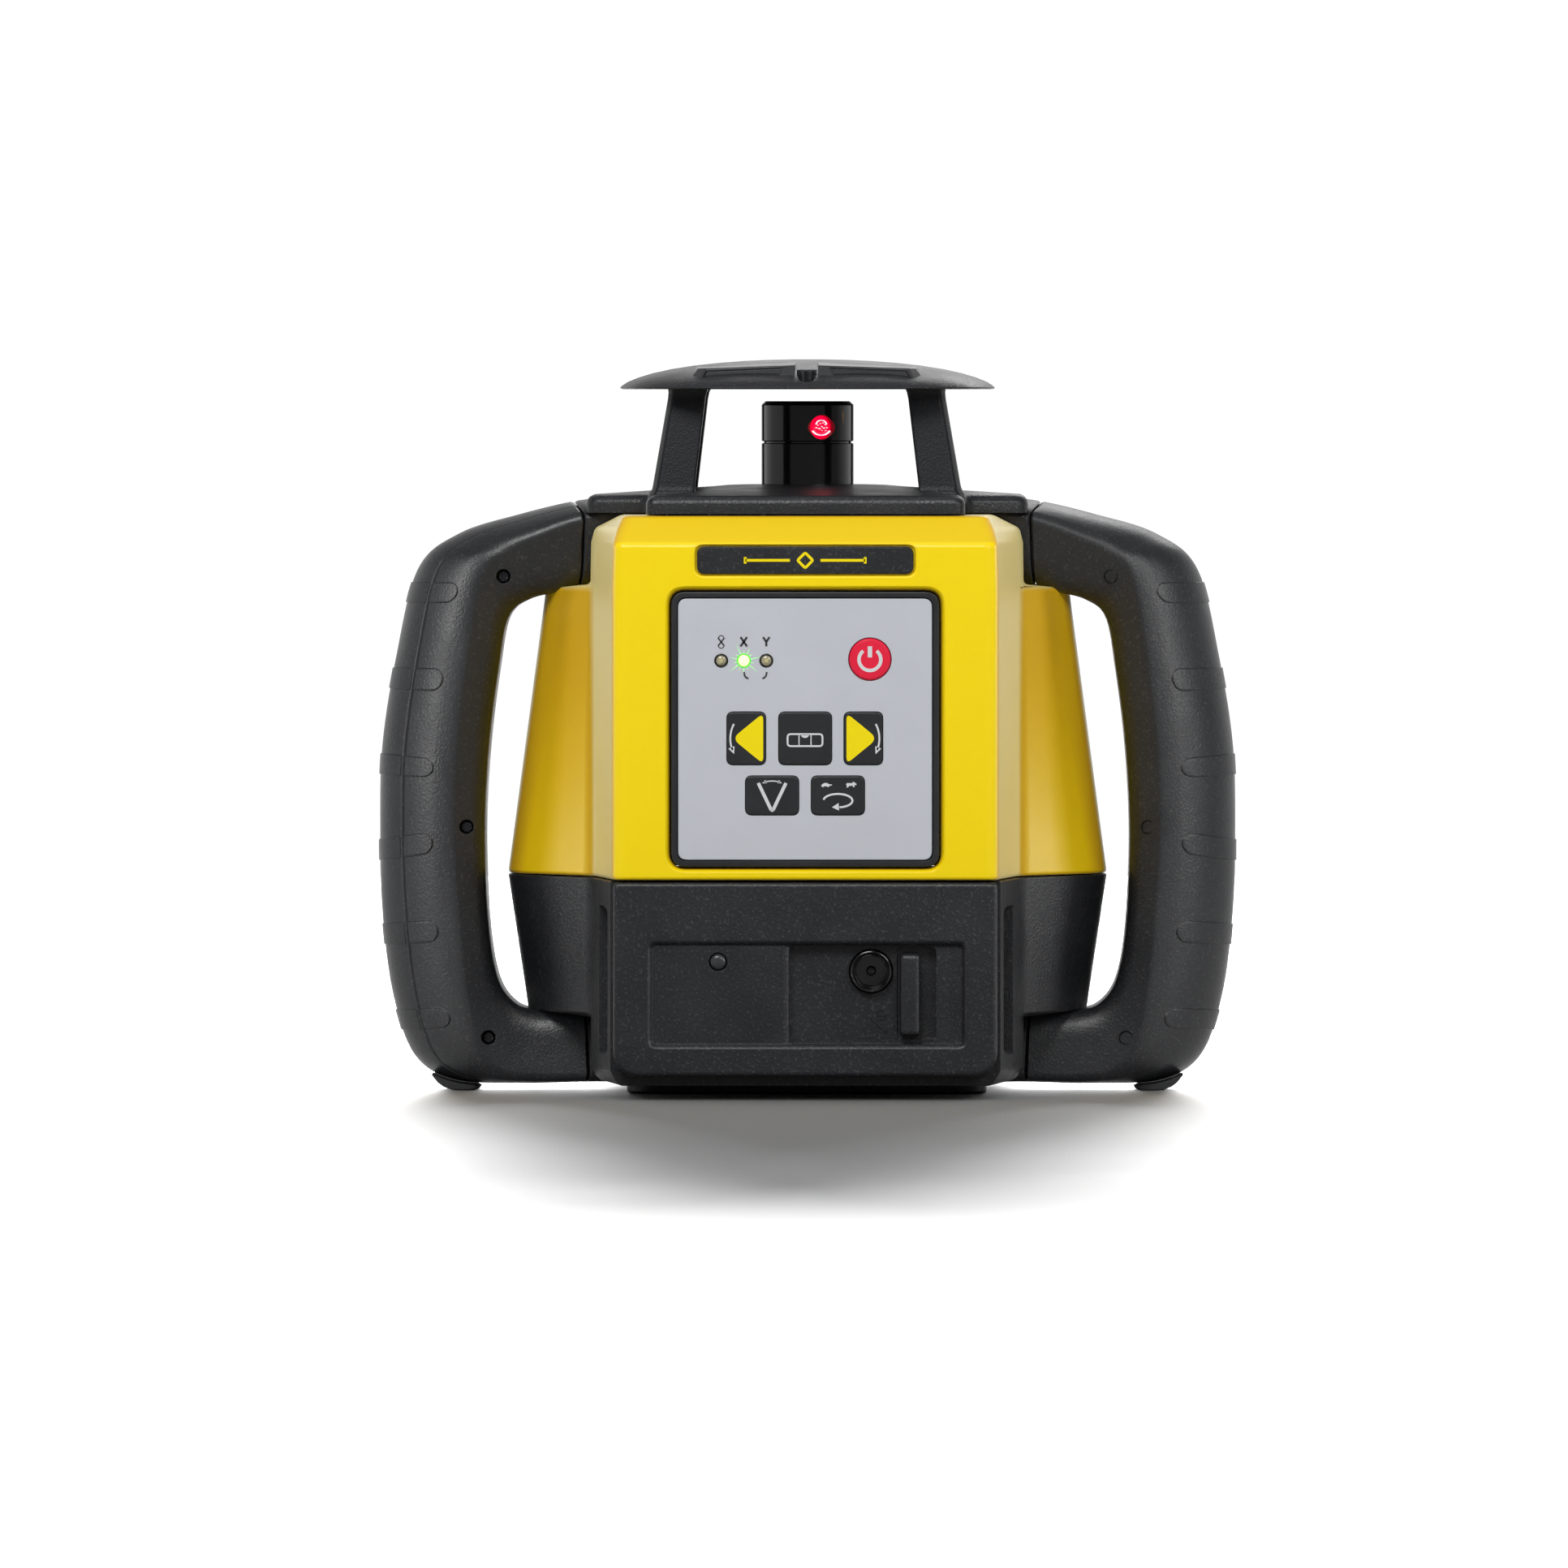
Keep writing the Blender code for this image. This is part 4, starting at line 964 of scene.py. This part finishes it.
def make_keys():
    for name, x, z, width, height in KEYS:
        w, h = width / 2, height / 2
        key = plate(f"key_{name}", (x - w, z - h), (x + w, z + h), 1.9,
            ((-88.9, 0), (-94.5, 0), (-94.75, -0.07), (-94.87, -0.22), (-94.9, -0.45)))
        show(key, key_black, [name + "_button"], name + "_key")
    for name, x, flip in (("left", -16.2, -1), ("right", 16, 1)):
        body = name + "_key"
        triangle = rounded([(x - flip * 4.65, 106.6), (x + flip * 3.9, 99.6),
            (x - flip * 4.65, 92.6)], [1.9, 2.4, 1.9], 5)
        icon(f"mark_{name}_arrow", [patch(triangle)], ink_yellow, body)
        bow = [(x + flip * (-4.1 + 8.5 * cos(radians(a))), 99.6 + 8.5 * sin(radians(a)))
            for a in [28 - 50 * k / 16 for k in range(17)]]
        head = arrow_head((x + flip * 3.35, 95.3), -90 - flip * 22, 2, 1.8)
        icon(f"mark_{name}_bow", [stroke(bow, 0.5), head], ink_white, body)
    level = [stroke(rounded(box(-4.85, 97.5, 4.75, 100.8), 0.9, 4), 0.5, closed=True),
        stroke([(-1.7, 97.7), (-1.7, 100.6)], 0.3), stroke([(1.6, 97.7), (1.6, 100.6)], 0.3),
        patch(arc(-0.05, 100.7, 1.15, 0.95, 180, 360, 12))]
    icon("mark_level", level, ink_white, "level_key")
    scan = [stroke([(-12.9, 87.35), (-9.35, 79.9)], 0.92),
        stroke([(-5.3, 87.35), (-8.85, 79.9)], 0.92),
        patch([(-9.75, 79.95), (-8.45, 79.95), (-8.8, 79.45), (-9.4, 79.45)]),
        stroke(arc(-9.1, 86.3, 3.3, 1.6, 132, 48), 0.34),
        arrow_head((-11.85, 87.25), 205, 1.2, 1), arrow_head((-6.35, 87.25), -25, 1.2, 1)]
    icon("mark_scan", scan, ink_white, "scan_key")
    turtle = ((-1.4, -0.35), (-1.1, 0.05), (-0.6, 0.45), (0.1, 0.55), (0.7, 0.3), (1, 0.1),
        (1.5, 0.15), (1.75, -0.05), (1.3, -0.25), (0.9, -0.3), (0.8, -0.6), (0.4, -0.6),
        (0.35, -0.4), (-0.6, -0.4), (-0.7, -0.65), (-1.1, -0.65), (-1, -0.35))
    hare = ((-1.5, 0.1), (-1.2, 0.5), (-0.2, 0.45), (0.5, 0.55), (0.3, 0.95), (0.9, 0.65),
        (1.5, 0.2), (1.3, -0.05), (0.8, -0.1), (0.9, -0.6), (0.5, -0.7), (0.4, -0.25),
        (-0.6, -0.3), (-0.9, -0.7), (-1.4, -0.75), (-1.2, -0.3))
    turn = [stroke(arc(9, 82.5, 4, 1.85, 172, -84), 0.55), arrow_head((7.35, 80.7), 183, 1.9, 2.1)]
    for animal, x in ((turtle, 5.7), (hare, 12.7)):
        turn.append(patch([(x + across, 86.85 + up) for across, up in animal]))
    icon("mark_speed", turn, ink_white, "speed_key")
    power = lathe("key_power", ((0, 94.97), (3, 94.97), (4.9, 94.92), (5.45, 94.8), (5.75, 94.5),
        (5.85, 94.1), (5.85, 88.9), (0, 88.9)), 96, turn=facing(POWER_X, POWER_Z))
    show(power, red_key, ["power_button"], "power_key")
    ring = arc(POWER_X, POWER_Z - 0.1, 3, 3, 128, 412, 48)
    bar = [(POWER_X, POWER_Z + 0.5), (POWER_X, POWER_Z + 3.55)]
    icon("mark_power", [stroke(ring, 0.95, front=-95.05), stroke(bar, 1.2, front=-95.05)],
        ink_white, "power_key")


def make_lamps():
    for name, x, paint, slot in LEDS:
        lamp = lathe("lamp_" + name, ((0, 95), (0.6, 94.97), (1.1, 94.85), (1.4, 94.62),
            (1.5, 94.4), (1.52, 94.2), (1.52, 89), (0, 89)), 48, turn=facing(x, LED_Z))
        show(lamp, paint, [name])
        rim = lathe("rim_" + name, ((1.56, 94.4), (1.62, 94.78), (1.76, 94.86), (1.9, 94.8),
            (1.98, 94.6), (1.98, 93.5), (1.56, 93.5)), 48, ring=True, turn=facing(x, LED_Z))
        # the green lamp's rim glows: painted light spill from the lamp
        show(rim, glow_green if paint == lamp_green else dark_steel)
        if paint == lamp_clear:
            die = box(x - 0.5, LED_Z - 0.5, x + 0.5, LED_Z + 0.5)
            die = [patch(rounded(die, 0.15, 2), front=-95.02, back=-94.9)]
            icon("die_" + name, die, lamp_die)
        else:
            # thin glowing patches round the lit lamp: painted glare rays
            rays = []
            for k in range(14):
                angle, length = radians(12 + 360 * k / 14), (5.2, 3.1, 4, 2.9)[k % 4]
                along = Vector((cos(angle), sin(angle)))
                across = Vector((-along.y, along.x)) * 0.16
                start, tip = Vector((x, LED_Z)) + along * 1.95, Vector((x, LED_Z)) + along * length
                rays.append(patch([tuple(start - across), tuple(tip), tuple(start + across)],
                    front=-94.76, back=-94.65))
            icon("rays_" + name, rays, ray_green)
    top, low = 127.5, 124.9
    marks = (
        ([(-17.8, top), (-16, low)], 0.6),
        ([(-16, top), (-17.8, low)], 0.6),
        ([(-11.6, top), (-10.7, 126.15)], 0.6),
        ([(-9.8, top), (-10.7, 126.15)], 0.6),
        ([(-10.7, 126.3), (-10.7, low)], 0.6),
        ([(-24, 127.3), (-22.2, 125)], 0.4),
        ([(-22.2, 127.3), (-24, 125)], 0.4),
        (arc(-23.1, 127.1, 0.75, 0.8, 0, 180, 12), 0.26),
        (arc(-23.1, 125.2, 0.75, 0.8, 180, 360, 12), 0.26),
        (bend((-16.8, 117.9), (-16.8, 116.3), (-15.6, 116.1), 8), 0.5),
        (bend((-10.6, 117.9), (-10.6, 116.3), (-11.8, 116.1), 8), 0.5),
    )
    marks = [stroke(points, width, front=-94.76, back=-94.6) for points, width in marks]
    icon("panel_marks", marks, ink_dark)


make_panel()
make_keys()
make_lamps()


# ---------------------------------------------------------------- battery pack

JACK_X, JACK_Z = 18.1, 35.4
LAMP_X, LAMP_Z = -24, 38.1


def recess(name, low, high, depth):
    """A cutter for a sunk field with broad rounded rims."""
    return plate(name, low, high, 1.2, ((-99, 5.5), (-95.02, 1.55), (-94.93, 1.2),
        (-94.72, 0.85), (-94.4, 0.5), (-94, 0.2), (-93.78, 0.05), (depth, 0)))


def make_pack():
    case = plate("pack_case", (-52.9, 6.5), (52.9, 60), [7.5, 7.5, 1.6, 1.6],
        ((-89, 0), (-93.5, 0), (-94.2, -0.12), (-94.65, -0.38), (-94.9, -0.8), (-95, -1.3)),
        steps=9)
    combine(case, "UNION", [block("pack_body", (-48, -90, 11.1), (48, -20.2, 57.7))])
    jack_hole = lathe("jack_hole", drum(6.1, 80, 99), 72, turn=facing(JACK_X, JACK_Z))
    lamp_hole = lathe("lamp_hole", drum(2.5, 80, 99), 48, turn=facing(LAMP_X, LAMP_Z))
    channel = plate("latch_channel", (25.3, 16.9), (36, 42), 1, ((-99, 0), (-89.4, 0)))
    step = prism("step", ((-6, -94.2), (-5.9, -93.72), (-5.2, -93.6), (-4.7, -93.33),
        (-4.35, -92.95), (-4.2, -92.4), (-3, -92.4), (-3, -94.2)), 15.7, 42.4, axis=2)
    cut(case, block("pack_hollow", (-46, -87, 13.1), (46, 0, 55.7)),
        recess("shallow", (-42.1, 15.5), (0.2, 42.6), -93.75),
        recess("deep", (-4.2, 15.5), (35.1, 42.6), -90),
        recess("shelf", (30, 15.5), (43.3, 42.6), -92.9), step, channel, jack_hole, lamp_hole)
    show(case, grained, ["battery_case"], "battery")
    socket = lathe("pack_socket", ((0, 80.5), (5.8, 80.5), (5.8, 92.2), (5.65, 92.5), (5.35, 92.6),
        (5.1, 92.4), (5, 91.9), (4.75, 91.7), (4.6, 91.9), (4.45, 92), (4.25, 91.8), (4.2, 91.4),
        (4.2, 83.2), (1.3, 83.2), (1.3, 86.5), (1, 87), (0, 87.1)), 96,
        turn=facing(JACK_X, JACK_Z))
    show(socket, polished, ["charge_jack"], "battery")
    lamp = lathe("pack_lamp", ((0, 94.45), (1.2, 94.4), (1.8, 94.15), (2.1, 93.8), (2.2, 93.3),
        (2.2, 84), (0, 84)), 48, turn=facing(LAMP_X, LAMP_Z))
    show(lamp, lamp_dim, ["charge_led"], "battery")
    latch = plate("pack_latch", (26, 17.6), (31.7, 40.4), 1.5, ((-90.3, 0), (-93.1, 0),
        (-93.9, -0.15), (-94.4, -0.5), (-94.7, -1), (-94.8, -1.6)))
    show(latch, smooth_black, ["battery_latch"], "latch")
    raised = {"front": -90.3, "back": -89.9}
    lock = [stroke([(17.6, 22.9), (22.4, 18.6)], 0.42, **raised),
        stroke([(22.4, 18.6), (22.4, 20.4)], 0.35, **raised),
        stroke(arc(21, 23.9, 1.05, 1.05, -30, 210), 0.35, **raised),
        stroke([(20, 23.3), (22, 23.3), (22, 22.2), (20, 22.2)], 0.3, closed=True, **raised)]
    icon("pack_lock_mark", lock, smooth_black, "battery")


make_pack()


# ---------------------------------------------------------------- turret and rotor

ROTOR = 12.93  # its radius
BEAM_TURN, STREAK_TURN = radians(18.5), radians(50)
BEAM_Z = 185.0


def towards_beam(piece):
    piece.data.transform(Matrix.Rotation(BEAM_TURN, 4, "Z"))
    return piece


def on_rotor(name, outline, angle):
    """A thin patch wrapped on the rotor; outline lists (width across, z)."""
    spots = [(angle + across / ROTOR - pi / 2, z) for across, z in outline]
    return loft(name, [[(radius * cos(at), radius * sin(at), z) for at, z in spots]
        for radius in (ROTOR - 0.3, ROTOR + 0.03)])


def make_turret():
    sleeve = lathe("turret", ((11.3, 158), (ROTOR, 158), (ROTOR, 180.35), (12.8, 180.55),
        (12.55, 180.6), (12.5, 179.4), (11.3, 179.4)), 128, ring=True)
    show(sleeve, polished, ["turret_sleeve"], "laser_unit")
    head = lathe("rotor_cap", ((0, 192.3), (11.55, 192.3), (11.8, 192.25), (12.82, 191.3),
        (ROTOR, 191.05), (ROTOR, 181.3), (12.8, 181.1), (12.3, 181.05), (12.3, 179.8),
        (11.6, 179.8), (11.6, 181), (0, 181)), 128)
    bore = lathe("aperture", ((0, 8), (3.15, 8), (3.2, 12.2), (3.6, 13.6), (0, 13.6)), 64,
        turn=facing(0, BEAM_Z))
    cut(head, towards_beam(bore))
    show(head, polished, ["rotor_head"], "rotor")
    dome = lathe("rotor_lens", ((0, 12.2), (1.3, 12.05), (2.4, 11.6), (3, 11), (3.12, 10.4),
        (3.12, 8.4), (0, 8.4)), 64, turn=facing(0, BEAM_Z))
    show(towards_beam(dome), glow_red, ["rotor_window"], "rotor")
    # white flecks and arcs over the lens: painted glints of the beam
    flat = {"front": -12.75, "back": -11.6}
    sparks = [stroke(arc(0, BEAM_Z - 0.1, 2.75, 2.1, 205, 335, 20), 0.22, **flat),
        stroke(arc(0, BEAM_Z + 0.55, 1.55, 1.45, 10, 170, 20), 0.14, **flat)]
    for x, z, size in ((-1.5, -0.1, 0.22), (-1, 0.6, 0.15), (-0.5, -0.4, 0.26), (-0.3, 1, 0.16),
            (0.1, 0.2, 0.2), (0.5, 1.2, 0.14), (0.7, -0.2, 0.28), (1.1, 0.7, 0.16),
            (1.6, -0.1, 0.2), (-0.9, -0.3, 0.14), (1.2, -0.9, 0.12), (0.2, -0.9, 0.12)):
        z += BEAM_Z
        sparks.append(patch([(x - size, z), (x, z - 0.6 * size), (x + size, z),
            (x, z + 0.6 * size)], **flat))
    show(towards_beam(merge("rotor_sparks", sparks)), glow_white, body="rotor")
    # a red ring round the aperture on the rotor: painted glow of the beam
    halo = [(4.0 * cos(radians(a)), BEAM_Z + 3.45 * sin(radians(a))
        * (1 - 0.25 * abs(cos(radians(a))))) for a in range(0, 360, 10)]
    ring_out = on_rotor("rotor_halo", halo, BEAM_TURN)
    hole = lathe("halo_hole", drum(3.35, 8, 20), 64, turn=facing(0, BEAM_Z))
    cut(ring_out, towards_beam(hole))
    show(ring_out, glow_halo, body="rotor")
    # a thin tapered amber streak on the rotor
    streak = [(0.45 * sin(pi * k / 12) ** 0.7, 190.3 - 4.6 * k / 12) for k in range(13)]
    streak += [(-0.35 * sin(pi * k / 12) ** 0.7, 185.7 + 4.6 * k / 12) for k in range(1, 12)]
    show(on_rotor("rotor_coating", streak, STREAK_TURN), amber, body="rotor")


make_turret()

CAD_PAINT = {"battery_bay": matt_black, "battery_lid": smooth_black, "chassis": aluminium,
    "gimbal_ring": aluminium, "laser_barrel": aluminium, "levelling_motor_x": steel,
    "levelling_motor_y": steel, "motor_stator": copper, "spindle_bearing": steel,
    "diode_module": brass, "collimator_lens": lens, "housing_seal": rubber, "key_board": circuit,
    "main_board": circuit, "penta_prism": lens, "push_rod_x": steel, "push_rod_y": steel,
    "spindle": steel, "tripod_insert": brass, **{f"battery_cell_{n}": wrap for n in range(1, 5)}}
for cad_name, paint in CAD_PAINT.items():
    shown = frame["nodes"][cad_name]
    if not shown.material_slots:
        shown.data.materials.append(paint)
    for place_of_paint in shown.material_slots:
        place_of_paint.material = paint


# ---------------------------------------------------------------- stage

def make_floor():
    shape = bmesh.new()
    bmesh.ops.create_circle(shape, cap_ends=True, segments=128, radius=2.6)
    floor = linked("floor", shape)
    floor.data.materials.append(floor_white)
    return floor


def link_light(lamp, receivers, state):
    """Let a lamp light only some objects ("INCLUDE") or all but them ("EXCLUDE")."""
    lit = bpy.data.collections.new(lamp.name + "_lights")
    for receiver in receivers:
        lit.objects.link(receiver)
    for entry in lit.collection_objects:
        entry.light_linking.link_state = state
    lamp.light_linking.receiver_collection = lit


def low_sun(floor):
    """A broad low light from behind that draws the long soft shadow on the floor."""
    light = bpy.data.lights.new("floor_light", "SUN")
    light.energy = 21.0
    light.angle = radians(20)
    lamp = bpy.data.objects.new("floor_light", light)
    lamp.rotation_euler = (radians(-85.4), 0, 0)
    scene.collection.objects.link(lamp)
    link_light(lamp, [floor], "INCLUDE")


def area_light(name, at, aim, width, height, power, receivers, state="EXCLUDE"):
    """A soft box that lights everything but the receivers, or only them."""
    light = bpy.data.lights.new(name, "AREA")
    light.shape = "RECTANGLE"
    light.size, light.size_y = width, height
    light.energy = power
    lamp = bpy.data.objects.new(name, light)
    lamp.location = at
    lamp.rotation_euler = (Vector(aim) - Vector(at)).to_track_quat("-Z", "Y").to_euler()
    scene.collection.objects.link(lamp)
    link_light(lamp, receivers, state)


def make_world():
    """A white studio, darker behind the camera; the camera itself sees plain white."""
    world = bpy.data.worlds.new("studio")
    scene.world = world
    world.use_nodes = True
    tree = world.node_tree
    tree.nodes.clear()
    link = tree.links.new
    split = node(tree, "SeparateXYZ")

    def faded(axis, first, last, low, high):
        ranged = node(tree, "MapRange", From_Min=first, From_Max=last, To_Min=low, To_Max=high)
        link(split.outputs[axis], ranged.inputs["Value"])
        return ranged.outputs["Result"]

    both = node(tree, "Math", operation="MULTIPLY")
    link(faded("Y", -0.2, 0.6, 0.2, 1), both.inputs[0])
    link(faded("Z", 0.2, 0.5, 1, 0.35), both.inputs[1])
    brighter = node(tree, "Math", operation="MAXIMUM")
    link(both.outputs[0], brighter.inputs[0])
    link(faded("X", -0.84, -0.74, 0.6, 0), brighter.inputs[1])
    path = node(tree, "LightPath").outputs
    dimmed, seen = node(tree, "Mix"), node(tree, "Mix")
    dimmed.inputs[3].default_value = 0.18
    seen.inputs[3].default_value = 1.05
    back = node(tree, "Background", Color=(1, 1, 1, 1))
    link(node(tree, "TexCoord").outputs["Generated"], split.inputs["Vector"])
    link(path["Is Diffuse Ray"], dimmed.inputs[0])
    link(brighter.outputs[0], dimmed.inputs[2])
    link(path["Is Camera Ray"], seen.inputs[0])
    link(dimmed.outputs[0], seen.inputs[2])
    link(seen.outputs[0], back.inputs["Strength"])
    link(back.outputs["Background"], node(tree, "OutputWorld").inputs["Surface"])


def make_camera():
    data = bpy.data.cameras.new("camera")
    data.sensor_width = 36.0
    data.lens = 493.0
    data.clip_end = 200.0
    camera = bpy.data.objects.new("camera", data)
    camera.location = (0.042, -6, 0.1977)
    aim = Vector((-0.0066, 0, 0.0853)) - camera.location
    camera.rotation_euler = aim.to_track_quat("-Z", "Y").to_euler()
    scene.collection.objects.link(camera)
    scene.camera = camera


ground = make_floor()
make_world()
low_sun(ground)
pack = [piece for piece in scene.objects if piece.name.startswith("pack_")]
shells = [scene.objects["housing_yellow"], scene.objects["housing_base"]]
grips = [piece for piece in scene.objects if piece.name.startswith("grip_")]
area_light("key", (-0.6, -2.2, 2), (0, 0, 0.10), 1.3, 1, 50, [ground])
area_light("fill", (1.3, -2.2, 1.3), (0, 0, 0.10), 0.9, 0.9, 17, [ground])
area_light("top", (0, -0.3, 2.2), (0, 0, 0.15), 1.6, 1.2, 4, [ground])
area_light("left_strip", (-2.2, -1.5, 0.8), (0, 0, 0.10), 0.18, 1.4, 24, grips, "INCLUDE")
area_light("right_strip", (2.2, -1.5, 0.8), (0, 0, 0.10), 0.18, 1.4, 19, grips, "INCLUDE")
area_light("left_side", (-2.2, 0.55, 0.5), (0, 0, 0.10), 0.5, 0.8, 7, shells, "INCLUDE")
area_light("right_side", (2.2, 0.55, 0.5), (0, 0, 0.10), 0.5, 0.8, 11, shells, "INCLUDE")
area_light("rim", (2.4, -1.1, 0.9), (0, 0, 0.03), 0.25, 1.2, 20, pack, "INCLUDE")
area_light("back", (0.6, 3.2, 1.9), (0, 0, 0.1), 1.6, 0.7, 14, [ground])
make_camera()
scene.view_settings.view_transform = "Standard"
